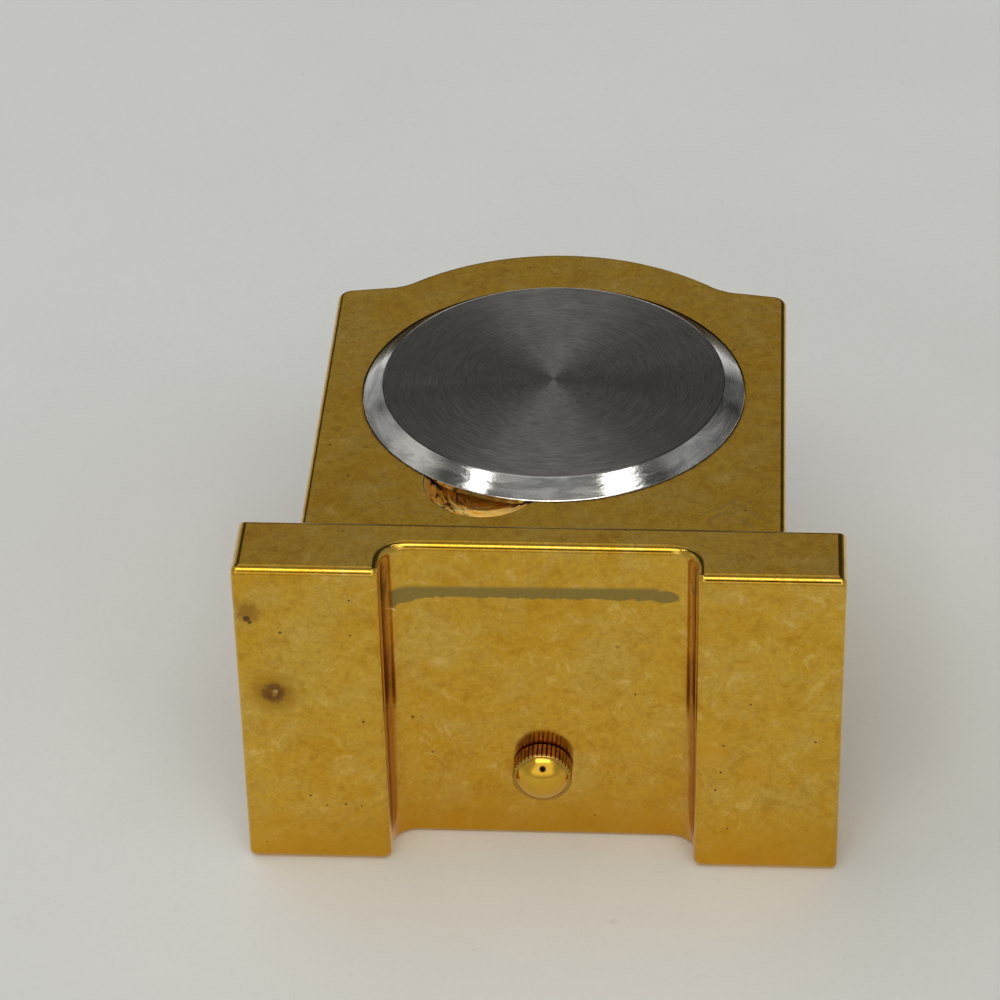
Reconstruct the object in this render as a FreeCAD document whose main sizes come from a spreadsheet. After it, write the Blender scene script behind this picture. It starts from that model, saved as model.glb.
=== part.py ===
import FreeCAD, Part
import math
import os
import Sketcher
from FreeCAD import Vector, Placement, Rotation

# Miniature desk clock with a date window: an arch-topped solid case block on a
# wider two-footed base, a watch-type quartz movement with date, and a press-fit
# steel back. Millimetres, standing upright: +Z up, the dial faces -Y, the
# origin is the centre of the base on the surface it stands on.

os.makedirs("parts", exist_ok=True)
doc = FreeCAD.newDocument("DeskClock")

# ---------------------------------------------------------------- dimensions
TABLE = [
    # base
    ("base_width", 47.5), ("base_depth", 29.0), ("base_height", 6.65),
    ("channel_half", 12.2), ("channel_height", 3.6), ("foot_round", 0.7),
    ("channel_round", 2.0), ("base_edge", 0.7), ("base_front_edge", 0.45),
    # case block
    ("block_half", 19.06), ("block_front", -11.5), ("block_back", 13.67),
    ("shoulder_side_z", 40.41), ("shoulder_corner", 1.25), ("shoulder_out_z", 41.65),
    ("shoulder_in_x", 15.25), ("shoulder_in_z", 42.11), ("cove_radius", 4.2),
    ("cove_out_x", 12.55), ("cove_out_z", 43.28), ("arch_radius", 19.7),
    ("block_edge", 0.45),
    # bore for the movement, on the clock's axis
    ("axis_z", 26.5), ("bore_radius", 14.35), ("lip_radius", 12.8),
    ("front_seat_radius", 15.5), ("back_recess_radius", 15.78), ("back_recess_depth", 0.6),
    # steel back
    ("back_radius", 15.67), ("back_flat_radius", 14.0), ("back_proud", 1.17),
    ("back_edge", 0.45), ("back_collar", 13.95),
    # pry notch
    ("notch_x", 4.95), ("notch_z", 13.35), ("notch_radius", 4.85), ("notch_depth", 1.3),
    # movement, given from the plane of the winding stem
    ("stem_y", -7.3), ("plate_radius", 12.2),
    # stem and crown
    ("stem_radius", 0.6), ("stem_neck", 0.5), ("crown_radius", 2.39), ("crown_dome_radius", 2.1),
    ("crown_gap", 0.13), ("crown_knurl", 1.57), ("crown_dome", 1.0), ("crown_flutes", 40),
    ("tube_outer", 1.05), ("tube_inner", 0.68),
    # gear modules (pitch diameter over teeth) and counts
    ("mod_rotor", 0.13), ("mod_seconds", 0.15), ("mod_third", 0.144), ("mod_centre", 0.136),
    ("mod_minute", 0.125), ("mod_hour", 0.12), ("mod_date", 0.205),
    ("t_rotor", 8), ("t_inter", 48), ("t_inter_pinion", 8), ("t_seconds", 40),
    ("t_seconds_pinion", 8), ("t_third", 60), ("t_third_pinion", 8), ("t_centre", 64),
    ("t_cannon", 12), ("t_minute", 36), ("t_minute_pinion", 10), ("t_hour", 40),
    ("t_hour_boss", 16), ("t_date", 32), ("t_ring", 31),
    ("dist_inter", 3.6), ("dist_rotor", 3.64), ("dist_third", 4.896), ("dist_minute", 3.0),
    ("dist_date", 4.92), ("dir_inter", 150.0), ("dir_third", 290.0), ("dir_minute", 250.0),
    ("dir_date", 20.0),
    # hands at ten past ten
    ("hour_angle", 305.29), ("minute_angle", 63.5), ("second_angle", 210.0),
    ("hour_length", 7.3), ("minute_length", 10.9), ("second_length", 11.6),
    # battery
    ("cell_radius", 3.4), ("cell_height", 2.6), ("cell_x", 5.98), ("cell_z", 5.01),
]
sheet = doc.addObject("Spreadsheet::Sheet", "Sizes")
for row, (name, value) in enumerate(TABLE, start=1):
    sheet.set("A%d" % row, name)
    sheet.set("B%d" % row, str(value))
    sheet.setAlias("B%d" % row, name)
doc.recompute()


class Dim(float):
    """A length that knows the sheet formula it comes from."""

    def __new__(cls, value, text):
        item = float.__new__(cls, value)
        item.text = text
        return item

    def __add__(self, other):
        return Dim(float(self) + float(other), "(%s + %s)" % (self.text, words(other)))

    def __radd__(self, other):
        return Dim(float(other) + float(self), "(%s + %s)" % (words(other), self.text))

    def __sub__(self, other):
        return Dim(float(self) - float(other), "(%s - %s)" % (self.text, words(other)))

    def __rsub__(self, other):
        return Dim(float(other) - float(self), "(%s - %s)" % (words(other), self.text))

    def __mul__(self, other):
        return Dim(float(self) * float(other), "(%s * %s)" % (self.text, words(other)))

    def __rmul__(self, other):
        return Dim(float(other) * float(self), "(%s * %s)" % (words(other), self.text))

    def __truediv__(self, other):
        return Dim(float(self) / float(other), "(%s / %s)" % (self.text, words(other)))

    def __neg__(self):
        return Dim(-float(self), "(0 - %s)" % self.text)


def words(value):
    return value.text if isinstance(value, Dim) else repr(float(value))


D = {name: Dim(value, "Sizes." + name) for name, value in TABLE}


def bind(obj, prop, value):
    if isinstance(value, Dim):
        obj.setExpression(prop, value.text)


def Y(offset):
    """A depth in the movement, from the plane of the stem."""
    return D["stem_y"] + offset


def polar(distance, degrees):
    a = math.radians(float(degrees))
    return float(distance) * math.cos(a), float(distance) * math.sin(a)


# ------------------------------------------------------------------- helpers
nodes = []


def body(label):
    made = doc.addObject("PartDesign::Body", label)
    made.Label = label
    nodes.append(made)
    return made


def plane(holder, role):
    return [f for f in holder.Origin.OriginFeatures if f.Role == role][0]


def sketch(holder, name, role, offset, loops):
    """Loops are ("circle", x, y, r) or lists of corners (x, y) or (x, y, radius, turn): the edge that leaves such a corner is an arc, turning left (+1) or right (-1)."""
    sk = holder.newObject("Sketcher::SketchObject", name)
    sk.AttachmentSupport = [(plane(holder, role), "")]
    sk.MapMode = "FlatFace"
    sk.AttachmentOffset = Placement(Vector(*[float(v) for v in offset]), Rotation())
    for axis, value in zip("xyz", offset):
        bind(sk, "AttachmentOffset.Base." + axis, value)

    def fixed(kind, *args):
        value = args[-1]
        index = sk.addConstraint(Sketcher.Constraint(kind, *args[:-1], float(value)))
        bind(sk, "Constraints[%d]" % index, value)

    for loop in loops:
        if loop[0] == "circle":
            _, x, y, r = loop
            g = sk.addGeometry(Part.Circle(Vector(x, y, 0), Vector(0, 0, 1), float(r)), False)
            fixed("Radius", g, r)
            fixed("DistanceX", g, 3, x)
            fixed("DistanceY", g, 3, y)
            continue
        first = sk.GeometryCount
        ends = []
        count = len(loop)
        for i, corner in enumerate(loop):
            a = Vector(corner[0], corner[1], 0)
            b = Vector(loop[(i + 1) % count][0], loop[(i + 1) % count][1], 0)
            if len(corner) == 2:
                sk.addGeometry(Part.LineSegment(a, b), False)
                ends.append((1, 2))
                continue
            r, turn = float(corner[2]), corner[3]
            chord = b - a
            half = chord.Length / 2
            left = Vector(-chord.y, chord.x, 0).normalize()
            c = (a + b) * 0.5 + left * (turn * math.sqrt(max(r * r - half * half, 0.0)))
            a0 = math.atan2(a.y - c.y, a.x - c.x)
            a1 = math.atan2(b.y - c.y, b.x - c.x)
            if turn < 0:
                a0, a1 = a1, a0
            if a1 < a0:
                a1 += 2 * math.pi
            sk.addGeometry(Part.ArcOfCircle(Part.Circle(c, Vector(0, 0, 1), r), a0, a1), False)
            ends.append((1, 2) if turn > 0 else (2, 1))
        for i in range(count):
            j = (i + 1) % count
            sk.addConstraint(Sketcher.Constraint("Coincident", first + i, ends[i][1], first + j, ends[j][0]))
        for i, corner in enumerate(loop):
            fixed("DistanceX", first + i, ends[i][0], corner[0])
            fixed("DistanceY", first + i, ends[i][0], corner[1])
            if len(corner) == 4:
                fixed("Radius", first + i, corner[2])
    return sk


def pad(holder, name, sk, length, along=True):
    made = holder.newObject("PartDesign::Pad", name)
    made.Profile = sk
    made.Length = float(length)
    made.Reversed = not along
    bind(made, "Length", length)
    return made


def pocket(holder, name, sk, length, along=True):
    """along cuts in the direction of the sketch's normal."""
    made = holder.newObject("PartDesign::Pocket", name)
    made.Profile = sk
    made.Length = float(length)
    made.Reversed = along
    bind(made, "Length", length)
    return made


def revolve(holder, name, sk, axis="H_Axis", cut=False):
    made = holder.newObject("PartDesign::Groove" if cut else "PartDesign::Revolution", name)
    made.Profile = sk
    made.ReferenceAxis = (sk, [axis])
    made.Angle = 360.0
    return made


def slab(label, loops, front, back, x=0.0, z=None):
    """A flat piece across the clock's depth; its loops are drawn about (x, z)."""
    z = D["axis_z"] if z is None else z
    b = body(label)
    sk = sketch(b, label + "_outline", "XZ_Plane", (x, z, -back), loops)
    pad(b, label + "_pad", sk, back - front)
    return b


def lathe(label, profile, x=0.0, z=None):
    """A turned piece whose axis runs front to back; the profile is (depth, radius)."""
    z = D["axis_z"] if z is None else z
    b = body(label)
    sk = sketch(b, label + "_profile", "YZ_Plane", (0.0, z, x), [profile])
    revolve(b, label + "_turning", sk)
    return b


def spindle(label, profile):
    """A turned piece on the stem's line; the profile is (radius, height)."""
    b = body(label)
    sk = sketch(b, label + "_profile", "XZ_Plane", (0.0, 0.0, -D["stem_y"]), [profile])
    revolve(b, label + "_turning", sk, axis="V_Axis")
    return b


def drill(holder, name, role, offset, loops, length, along=True):
    sk = sketch(holder, name + "_sketch", role, offset, loops)
    return pocket(holder, name, sk, length, along)


def feature(label, shape):
    made = doc.addObject("Part::Feature", label)
    made.Label = label
    made.Shape = shape
    nodes.append(made)
    return made


def disc(r, front, back, x=0.0, z=0.0, hole=0.0):
    """A plain round solid across the depth, about the clock's axis."""
    base = Vector(float(x), float(front), float(D["axis_z"]) + float(z))
    solid = Part.makeCylinder(float(r), float(back) - float(front), base, Vector(0, 1, 0))
    if hole:
        solid = solid.cut(Part.makeCylinder(float(hole), float(back) - float(front), base, Vector(0, 1, 0)))
    return solid


def toothed(teeth, module, phase, front, back, x=0.0, z=0.0, hole=0.0, addendum=0.72, arms=0):
    """A toothed wheel: one tooth centred on the phase, in degrees from +X towards +Z."""
    teeth = int(teeth)
    pitch_r = teeth * float(module) / 2
    step = 2 * math.pi / teeth
    rows = [(pitch_r - 1.05 * float(module), 0.27), (pitch_r, 0.185), (pitch_r + addendum * float(module), 0.075)]
    pts = []
    for i in range(teeth):
        a = math.radians(phase) + i * step
        for r, w in rows:
            pts.append((r, a - w * step))
        for r, w in reversed(rows):
            pts.append((r, a + w * step))
    zc = float(D["axis_z"]) + float(z)
    wire = [Vector(float(x) + r * math.cos(a), float(front), zc + r * math.sin(a)) for r, a in pts]
    wire.append(wire[0])
    solid = Part.Face(Part.makePolygon(wire)).extrude(Vector(0, float(back) - float(front), 0))
    if hole:
        solid = solid.cut(disc(hole, front - 1, back + 1, x, z))
    inner, outer = pitch_r * 0.30, pitch_r * 0.80
    for k in range(arms):
        lo = 360.0 / arms * k + 15
        hi = 360.0 / arms * (k + 1) - 15
        window = [Vector(float(x) + r * math.cos(math.radians(t)), float(front) - 1, zc + r * math.sin(math.radians(t)))
                  for r, t in [(inner, lo + (hi - lo) * 0.25)] + [(outer, lo + (hi - lo) * s / 6) for s in range(7)] + [(inner, hi - (hi - lo) * 0.25)]]
        window.append(window[0])
        solid = solid.cut(Part.Face(Part.makePolygon(window)).extrude(Vector(0, float(back) - float(front) + 2, 0)))
    return solid


def joined(*solids):
    made = solids[0].multiFuse(list(solids[1:])).removeSplitter()
    return made


# ---------------------------------------------------------------------- base
half_w, half_d = D["base_width"] / 2, D["base_depth"] / 2
cw, ch = D["channel_half"], D["channel_height"]
r1, r2 = D["foot_round"], D["channel_round"]
base = body("base")
sk = sketch(base, "base_front_view", "XZ_Plane", (0.0, 0.0, -half_d), [[
    (-half_w, 0.0), (-(cw + r1), 0.0, r1, 1), (-cw, r1), (-cw, ch - r2, r2, -1),
    (-(cw - r2), ch), (cw - r2, ch, r2, -1), (cw, ch - r2), (cw, r1, r1, 1),
    (cw + r1, 0.0), (half_w, 0.0), (half_w, D["base_height"]), (-half_w, D["base_height"])]])
pad(base, "base_block", sk, D["base_depth"])
drill(base, "stem_hole", "XY_Plane", (0.0, 0.0, 2.0), [("circle", 0.0, D["stem_y"], D["tube_outer"] + 0.02)], 6.0)
drill(base, "pin_holes", "XY_Plane", (0.0, 0.0, D["base_height"] - 4.2),
      [("circle", 15.5, 2.0, 1.27), ("circle", -15.5, 2.0, 1.27)], 6.0)
doc.recompute()


def pick_edges(shape, test):
    return ["Edge%d" % (i + 1) for i, e in enumerate(shape.Edges) if test(e)]


def on_box(edge, name, value, tol=1e-4):
    box = edge.BoundBox
    return abs(getattr(box, name + "Min") - value) < tol and abs(getattr(box, name + "Max") - value) < tol


def round_edges(holder, name, test, radius):
    before = holder.Tip
    made = holder.newObject("PartDesign::Fillet", name)
    made.Base = (before, pick_edges(before.Shape, test))
    made.Radius = float(radius)
    bind(made, "Radius", radius)
    doc.recompute()
    return made


hw, hd, bh = float(half_w), float(half_d), float(D["base_height"])
round_edges(base, "base_back_rounding", lambda e: on_box(e, "Y", hd), D["base_edge"])
round_edges(base, "base_front_rounding",
            lambda e: on_box(e, "Y", -hd)
            or (abs(abs(e.CenterOfMass.x) - hw) < 1e-4 and abs(e.CenterOfMass.y) < 2), D["base_front_edge"])

# ---------------------------------------------------------------- case block
block = body("case_block")
bx, ra = D["block_half"], D["arch_radius"]
sk = sketch(block, "block_front_view", "XZ_Plane", (0.0, 0.0, -D["block_back"]), [[
    (-bx, D["base_height"]), (bx, D["base_height"]), (bx, D["shoulder_side_z"], D["shoulder_corner"], 1),
    (bx - 1.044, D["shoulder_out_z"]), (D["shoulder_in_x"], D["shoulder_in_z"], D["cove_radius"], -1),
    (D["cove_out_x"], D["cove_out_z"], ra, 1), (-D["cove_out_x"], D["cove_out_z"], D["cove_radius"], -1),
    (-D["shoulder_in_x"], D["shoulder_in_z"]), (-(bx - 1.044), D["shoulder_out_z"], D["shoulder_corner"], 1),
    (-bx, D["shoulder_side_z"])]])
pad(block, "block_solid", sk, D["block_back"] - D["block_front"])
doc.recompute()
fy, by = float(D["block_front"]), float(D["block_back"])
round_edges(block, "block_rounding",
            lambda e: (on_box(e, "Y", by) or on_box(e, "Y", fy)) and e.BoundBox.ZMax > bh + 0.01, D["block_edge"])
sk = sketch(block, "bore_profile", "YZ_Plane", (0.0, D["axis_z"], 0.0), [[
    (D["block_front"] - 1, 0.0), (D["block_front"] - 1, D["front_seat_radius"]), (Y(-2.9), D["front_seat_radius"]),
    (Y(-2.9), D["lip_radius"]), (Y(-1.95), D["lip_radius"]), (Y(-1.95), D["bore_radius"]),
    (D["block_back"] - D["back_recess_depth"], D["bore_radius"]),
    (D["block_back"] - D["back_recess_depth"], D["back_recess_radius"]),
    (D["block_back"] + 1, D["back_recess_radius"]), (D["block_back"] + 1, 0.0)]])
revolve(block, "bore", sk, cut=True)
nr, nd = D["notch_radius"], D["notch_depth"]
# the pry notch is a shallow turned scoop with ridges left by the cutter
steps = [(D["block_back"] + 1, 0.0), (D["block_back"] + 1, nr), (D["block_back"], nr)]
for k in range(5):
    steps += [(D["block_back"] - nd * ((k + 0.75) / 5), nr - (0.30 + 0.52 * k)),
              (D["block_back"] - nd * ((k + 0.50) / 5), nr - (0.42 + 0.52 * k))]
steps += [(D["block_back"] - nd, nr - 2.9), (D["block_back"] - nd, 0.0)]
sk = sketch(block, "notch_profile", "YZ_Plane", (0.0, D["notch_z"], D["notch_x"]), [steps])
revolve(block, "pry_notch", sk, cut=True)
drill(block, "block_stem_hole", "XY_Plane", (0.0, 0.0, D["base_height"] - 1),
      [("circle", 0.0, D["stem_y"], D["tube_outer"] + 0.02)], 9.0)
drill(block, "block_pin_holes", "XY_Plane", (0.0, 0.0, D["base_height"] - 1),
      [("circle", 15.5, 2.0, 1.27), ("circle", -15.5, 2.0, 1.27)], 5.2)

# two dowels that locate the block on the base
pins = body("locating_pins")
sk = sketch(pins, "pins_outline", "XY_Plane", (0.0, 0.0, D["base_height"] - 4.1),
            [("circle", 15.5, 2.0, 1.25), ("circle", -15.5, 2.0, 1.25)])
pad(pins, "pins_pad", sk, 8.2)
doc.recompute()
if len(pins.Shape.Solids) < 2:
    doc.removeObject(pins.Name)
    nodes.pop()
    pair = [Part.makeCylinder(1.25, 8.2, Vector(sx * 15.5, 2.0, bh - 4.1)) for sx in (1, -1)]
    feature("locating_pins", Part.makeCompound(pair))

# ------------------------------------------------------- bezel, glass, dial
fb = D["block_front"]
lathe("bezel", [
    (Y(-2.95), 13.1), (Y(-2.95), 15.4), (fb, 15.4), (fb, 17.0), (fb - 0.35, 17.0, 0.9, 1),
    (fb - 1.05, 16.3), (fb - 1.25, 15.6, 0.6, 1), (fb - 1.05, 14.75), (fb - 0.70, 14.4), (fb + 0.55, 14.4), (fb + 0.55, 13.1)])
lathe("crystal_gasket", [
    (fb - 0.80, 13.93), (fb - 0.80, 14.37), (fb + 0.52, 14.37), (fb + 0.52, 13.30), (fb + 0.40, 13.30), (fb + 0.40, 13.93)])
lathe("crystal", [
    (fb + 0.38, 0.0), (fb - 0.72, 0.0), (fb - 0.72, 13.7), (fb - 0.54, 13.9), (fb + 0.38, 13.9)])
dial = body("dial")
sk = sketch(dial, "dial_outline", "XZ_Plane", (0.0, D["axis_z"], -Y(-1.50)),
            [("circle", 0.0, 0.0, 14.2), ("circle", 0.0, 0.0, 1.15),
             [(8.35, -1.0), (10.85, -1.0), (10.85, 1.0), (8.35, 1.0)]])
pad(dial, "dial_pad", sk, 0.40)
slab("date_window_frame", [[(7.98, -1.37), (11.22, -1.37), (11.22, 1.37), (7.98, 1.37)],
                           [(8.35, -1.0), (10.85, -1.0), (10.85, 1.0), (8.35, 1.0)]], Y(-2.02), Y(-1.90))
slab("hour_markers", [[(-0.45, 10.7), (-0.12, 10.7), (-0.12, 12.4), (-0.45, 12.4)],
                      [(0.12, 10.7), (0.45, 10.7), (0.45, 12.4), (0.12, 12.4)]]
     + [[tuple(polar(math.hypot(u, v), math.degrees(math.atan2(v, u)) - 30.0 * k)) for u, v in
         [(-0.2, 11.1), (0.2, 11.1), (0.2, 12.4), (-0.2, 12.4)]] for k in range(1, 12) if k != 3],
     Y(-2.00), Y(-1.90))
doc.recompute()

# --------------------------------------------------------------------- hands


def hand(label, outline, hub_radius, hole, front, back, angle, blade_front, blade_back):
    b = body(label)
    ring = sketch(b, label + "_hub", "XZ_Plane", (0.0, 0.0, -back), [("circle", 0.0, 0.0, hub_radius)])
    pad(b, label + "_hub_pad", ring, back - front)
    blade = sketch(b, label + "_blade", "XZ_Plane", (0.0, 0.0, -blade_back), [outline])
    pad(b, label + "_blade_pad", blade, blade_back - blade_front)
    if hole:
        drill(b, label + "_bore", "XZ_Plane", (0.0, 0.0, -(back + 0.2)), [("circle", 0.0, 0.0, hole)], 1.2)
    b.Placement = Placement(Vector(0, 0, float(D["axis_z"])), Rotation(Vector(0, 1, 0), float(angle)))
    bind(b, "Placement.Base.z", D["axis_z"])
    return b


hl, ml, sl = D["hour_length"], D["minute_length"], D["second_length"]
hand("hour_hand", [(-0.42, 0.5), (0.42, 0.5), (0.80, hl - 3.4), (0.0, hl), (-0.80, hl - 3.4)],
     1.35, 0.96, Y(-2.52), Y(-2.28), D["hour_angle"], Y(-2.45), Y(-2.30))
hand("minute_hand", [(-0.32, 0.4), (0.32, 0.4), (0.60, ml - 5.0), (0.0, ml), (-0.60, ml - 5.0)],
     1.05, 0.63, Y(-2.92), Y(-2.68), D["minute_angle"], Y(-2.86), Y(-2.72))
hand("second_hand", [(-0.26, -3.6), (0.26, -3.6), (0.10, 0.0), (0.05, sl), (-0.05, sl), (-0.10, 0.0)],
     0.60, 0.0, Y(-3.28), Y(-3.10), D["second_angle"], Y(-3.25), Y(-3.13))

# -------------------------------------------------------- movement, dial side
plate = lathe("main_plate", [
    (Y(-1.50), 12.2), (Y(-1.50), 11.5), (Y(-1.05), 11.5), (Y(-1.05), 8.55), (Y(-0.30), 8.55), (Y(-0.30), 0.5),
    (Y(1.10), 0.5), (Y(1.10), 12.2)])
zc = D["axis_z"]
mx, mz = polar(D["dist_minute"], D["dir_minute"])
dx, dz = polar(D["dist_date"], D["dir_date"])
ix, iz = polar(D["dist_inter"], D["dir_inter"])
rx, rz = polar(float(D["dist_inter"]) + float(D["dist_rotor"]), D["dir_inter"])
tx, tz = polar(D["dist_third"], D["dir_third"])
front_posts = sketch(plate, "front_posts_sketch", "XZ_Plane", (0.0, zc, -Y(-0.20)),
                     [("circle", mx, mz, 0.30), ("circle", dx, dz, 0.35)])
pad(plate, "front_posts", front_posts, 1.15)
pillars = [(0.6, 6.6), (-9.3, 1.0), (7.2, -5.2), (-1.6, -9.6)]
rear_posts = sketch(plate, "pillars_sketch", "XZ_Plane", (0.0, zc, -Y(1.00)),
                    [("circle", px, pz, 0.85) for px, pz in pillars])
pad(plate, "pillars", rear_posts, 2.88, along=False)
low_posts = sketch(plate, "bridge_posts_sketch", "XZ_Plane", (0.0, zc, -Y(1.00)),
                   [("circle", -0.94, 5.32, 0.6), ("circle", 5.32, -0.94, 0.6)])
pad(plate, "bridge_posts", low_posts, 0.58, along=False)
drill(plate, "pillar_taps", "XZ_Plane", (0.0, zc, -Y(4.20)), [("circle", px, pz, 0.42) for px, pz in pillars], 2.2)
drill(plate, "low_taps", "XZ_Plane", (0.0, zc, -Y(2.20)), [("circle", -0.94, 5.32, 0.32), ("circle", 5.32, -0.94, 0.32)], 1.5)
drill(plate, "third_jewel_hole", "XZ_Plane", (0.0, zc, -Y(1.20)), [("circle", tx, tz, 0.18)], 0.9)
drill(plate, "rotor_jewel_hole", "XZ_Plane", (0.0, zc, -Y(1.20)), [("circle", rx, rz, 0.18)], 0.9)
drill(plate, "stem_bore", "XY_Plane", (0.0, 0.0, zc - 13.0), [("circle", 0.0, D["stem_y"], 0.58)], 5.6)
drill(plate, "pinion_slot", "XZ_Plane", (0.0, zc, -Y(1.20)), [[(-0.95, -7.7), (0.95, -7.7), (0.95, -5.2), (-0.95, -5.2)]], 2.05)
drill(plate, "lever_slot", "XZ_Plane", (0.0, zc, -Y(1.20)),
      [[(-0.15, -11.1), (1.4, -11.1), (3.0, -11.2), (4.0, -10.6), (4.0, -9.3), (3.0, -8.7), (-0.15, -8.9)]], 0.52)
drill(plate, "lever_pin_slot", "XZ_Plane", (0.0, zc, -Y(1.20)),
      [[(0.20, -11.1), (0.95, -11.1), (0.95, -9.6), (0.20, -9.6)]], 1.30)
pivot = sketch(plate, "lever_post_sketch", "XZ_Plane", (0.0, zc, -Y(0.60)), [("circle", 3.0, -9.97, 0.30)])
pad(plate, "lever_post", pivot, 0.48, along=False)
doc.recompute()

# the minute pinion (cannon pinion) rides on the centre wheel's tube
feature("cannon_pinion", joined(
    toothed(12, D["mod_minute"], float(D["dir_minute"]), Y(-0.75), Y(-0.35), hole=0.47),
    disc(0.62, Y(-2.90), Y(-0.60), hole=0.47)))
feature("hour_wheel", joined(
    toothed(40, D["mod_hour"], float(D["dir_minute"]), Y(-1.30), Y(-1.10), hole=0.68, arms=4),
    toothed(16, D["mod_date"], float(D["dir_date"]), Y(-1.12), Y(-0.80), hole=0.68),
    disc(0.95, Y(-2.50), Y(-1.00), hole=0.68)))
feature("minute_wheel", joined(
    toothed(36, D["mod_minute"], float(D["dir_minute"]) + 180 + 5.0, Y(-0.75), Y(-0.50), mx, mz, hole=0.35, arms=4),
    toothed(10, D["mod_hour"], float(D["dir_minute"]) + 180 + 18.0, Y(-1.35), Y(-0.70), mx, mz, hole=0.35)))
gd = 180.0 / 32
finger_dir = float(D["dir_date"]) + 90
fx, fz = polar(1, finger_dir)
ux, uz = -fz, fx
# the finger turns in front of the hour wheel's teeth and clears its pipe on the way round
finger_pts = [(0.0, 0.55), (2.2, 0.40), (3.31, 0.12), (3.36, -0.12), (2.2, -0.30), (0.0, -0.55)]
ring_pts = [Vector(dx + fx * a + ux * b, float(Y(-1.45)), float(zc) + dz + fz * a + uz * b) for a, b in finger_pts]
ring_pts.append(ring_pts[0])
finger = Part.Face(Part.makePolygon(ring_pts)).extrude(Vector(0, 0.11, 0)).cut(disc(0.40, Y(-2), Y(0), dx, dz))
feature("date_wheel", joined(
    toothed(32, D["mod_date"], float(D["dir_date"]) + 180 + gd, Y(-1.02), Y(-0.83), dx, dz, hole=0.40, arms=4),
    disc(0.75, Y(-1.45), Y(-0.90), dx, dz, hole=0.40), finger))

# date ring: 31 inward teeth, printed face forward
ring_outer = disc(11.3, Y(-1.40), Y(-1.15))
pts = []
for k in range(31):
    a = math.radians(120.0 + 360.0 / 31 * (k + 0.5))
    step = math.radians(360.0 / 31)
    for r, w in ((8.45, -0.42), (8.02, -0.16), (8.02, 0.16), (8.45, 0.42)):
        pts.append(Vector(r * math.cos(a + w * step), float(Y(-1.6)), float(zc) + r * math.sin(a + w * step)))
pts.append(pts[0])
feature("date_ring", ring_outer.cut(Part.Face(Part.makePolygon(pts)).extrude(Vector(0, 1, 0))))
slab("date_jumper", [[polar(r, a) for r, a in [(8.28, 120.0), (7.7, 121.3), (7.15, 120.6), (6.75, 112.0), (6.5, 104.0), (5.75, 103.0), (5.75, 96.0), (6.9, 95.0), (7.15, 104.0), (7.4, 112.0), (7.7, 118.7)]]],
     Y(-1.35), Y(-1.18))
slab("jumper_screw", [("circle", polar(6.3, 99.0)[0], polar(6.3, 99.0)[1], 0.45)], Y(-1.18), Y(-0.30))

# ------------------------------------------------------- movement, train side
feature("centre_wheel", joined(
    toothed(64, D["mod_centre"], float(D["dir_third"]), Y(1.20), Y(1.45), hole=0.22, arms=5),
    disc(0.75, Y(1.15), Y(1.55), hole=0.22), disc(0.42, Y(-2.80), Y(1.30), hole=0.22)))
cb = slab("centre_bridge", [[(-1.75, 5.95), (-0.2, 5.95), (0.9, 1.1), (6.0, -0.15), (6.0, -1.7), (0.2, -1.15), (-1.6, -0.4), (-3.95, 1.0), (-3.95, 2.65)],
                            ("circle", 0.0, 0.0, 0.24), ("circle", -0.94, 5.32, 0.36), ("circle", 5.32, -0.94, 0.36), ("circle", ix, iz, 0.20)],
          Y(1.60), Y(1.85))
feature("third_wheel", joined(
    toothed(60, D["mod_third"], float(D["dir_third"]) + 180 + 3.0, Y(2.00), Y(2.25), tx, tz, arms=5),
    toothed(8, D["mod_centre"], float(D["dir_third"]) + 180 + 22.5, Y(1.16), Y(2.05), tx, tz),
    disc(0.11, Y(0.62), Y(4.20), tx, tz)))
feature("seconds_wheel", joined(
    toothed(40, D["mod_seconds"], float(D["dir_inter"]), Y(2.50), Y(2.75), arms=4),
    toothed(8, D["mod_third"], float(D["dir_third"]), Y(1.95), Y(2.55)),
    disc(0.16, Y(-3.10), Y(2.60)), disc(0.11, Y(2.50), Y(4.20))))
feature("intermediate_wheel", joined(
    toothed(48, D["mod_rotor"], float(D["dir_inter"]), Y(3.00), Y(3.25), ix, iz, arms=4),
    toothed(8, D["mod_seconds"], float(D["dir_inter"]) + 180 + 22.5, Y(2.40), Y(3.05), ix, iz),
    disc(0.11, Y(1.62), Y(4.20), ix, iz)))
feature("rotor", joined(
    toothed(8, D["mod_rotor"], float(D["dir_inter"]) + 180 + 22.5, Y(2.90), Y(3.35), rx, rz),
    disc(1.0, Y(1.40), Y(2.40), rx, rz), disc(0.28, Y(2.30), Y(3.00), rx, rz), disc(0.11, Y(0.62), Y(4.20), rx, rz)))
slab("stator", [[(-9.6, 5.6), (-5.2, 6.9), (-4.5, 5.4), (-4.9, 2.0), (-5.4, -0.4), (-4.6, -3.4), (-3.2, -6.5), (-3.7, -7.0),
                 (-5.4, -4.4), (-6.9, -1.6), (-7.9, 1.6), (-9.9, 3.2)],
                ("circle", rx, rz, 1.25), ("circle", -8.55, 4.4, 0.36)], Y(1.60), Y(2.15))
# coil on its core, lying beside the stator
coil_mid = polar(8.6, 215.0)
coil_dir = polar(1.0, 305.0)


def lying_rod(r, half, y, mid, way):
    base_pt = Vector(mid[0] - way[0] * half, float(y), float(zc) + mid[1] - way[1] * half)
    return Part.makeCylinder(float(r), 2 * half, base_pt, Vector(way[0], 0, way[1]))


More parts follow.
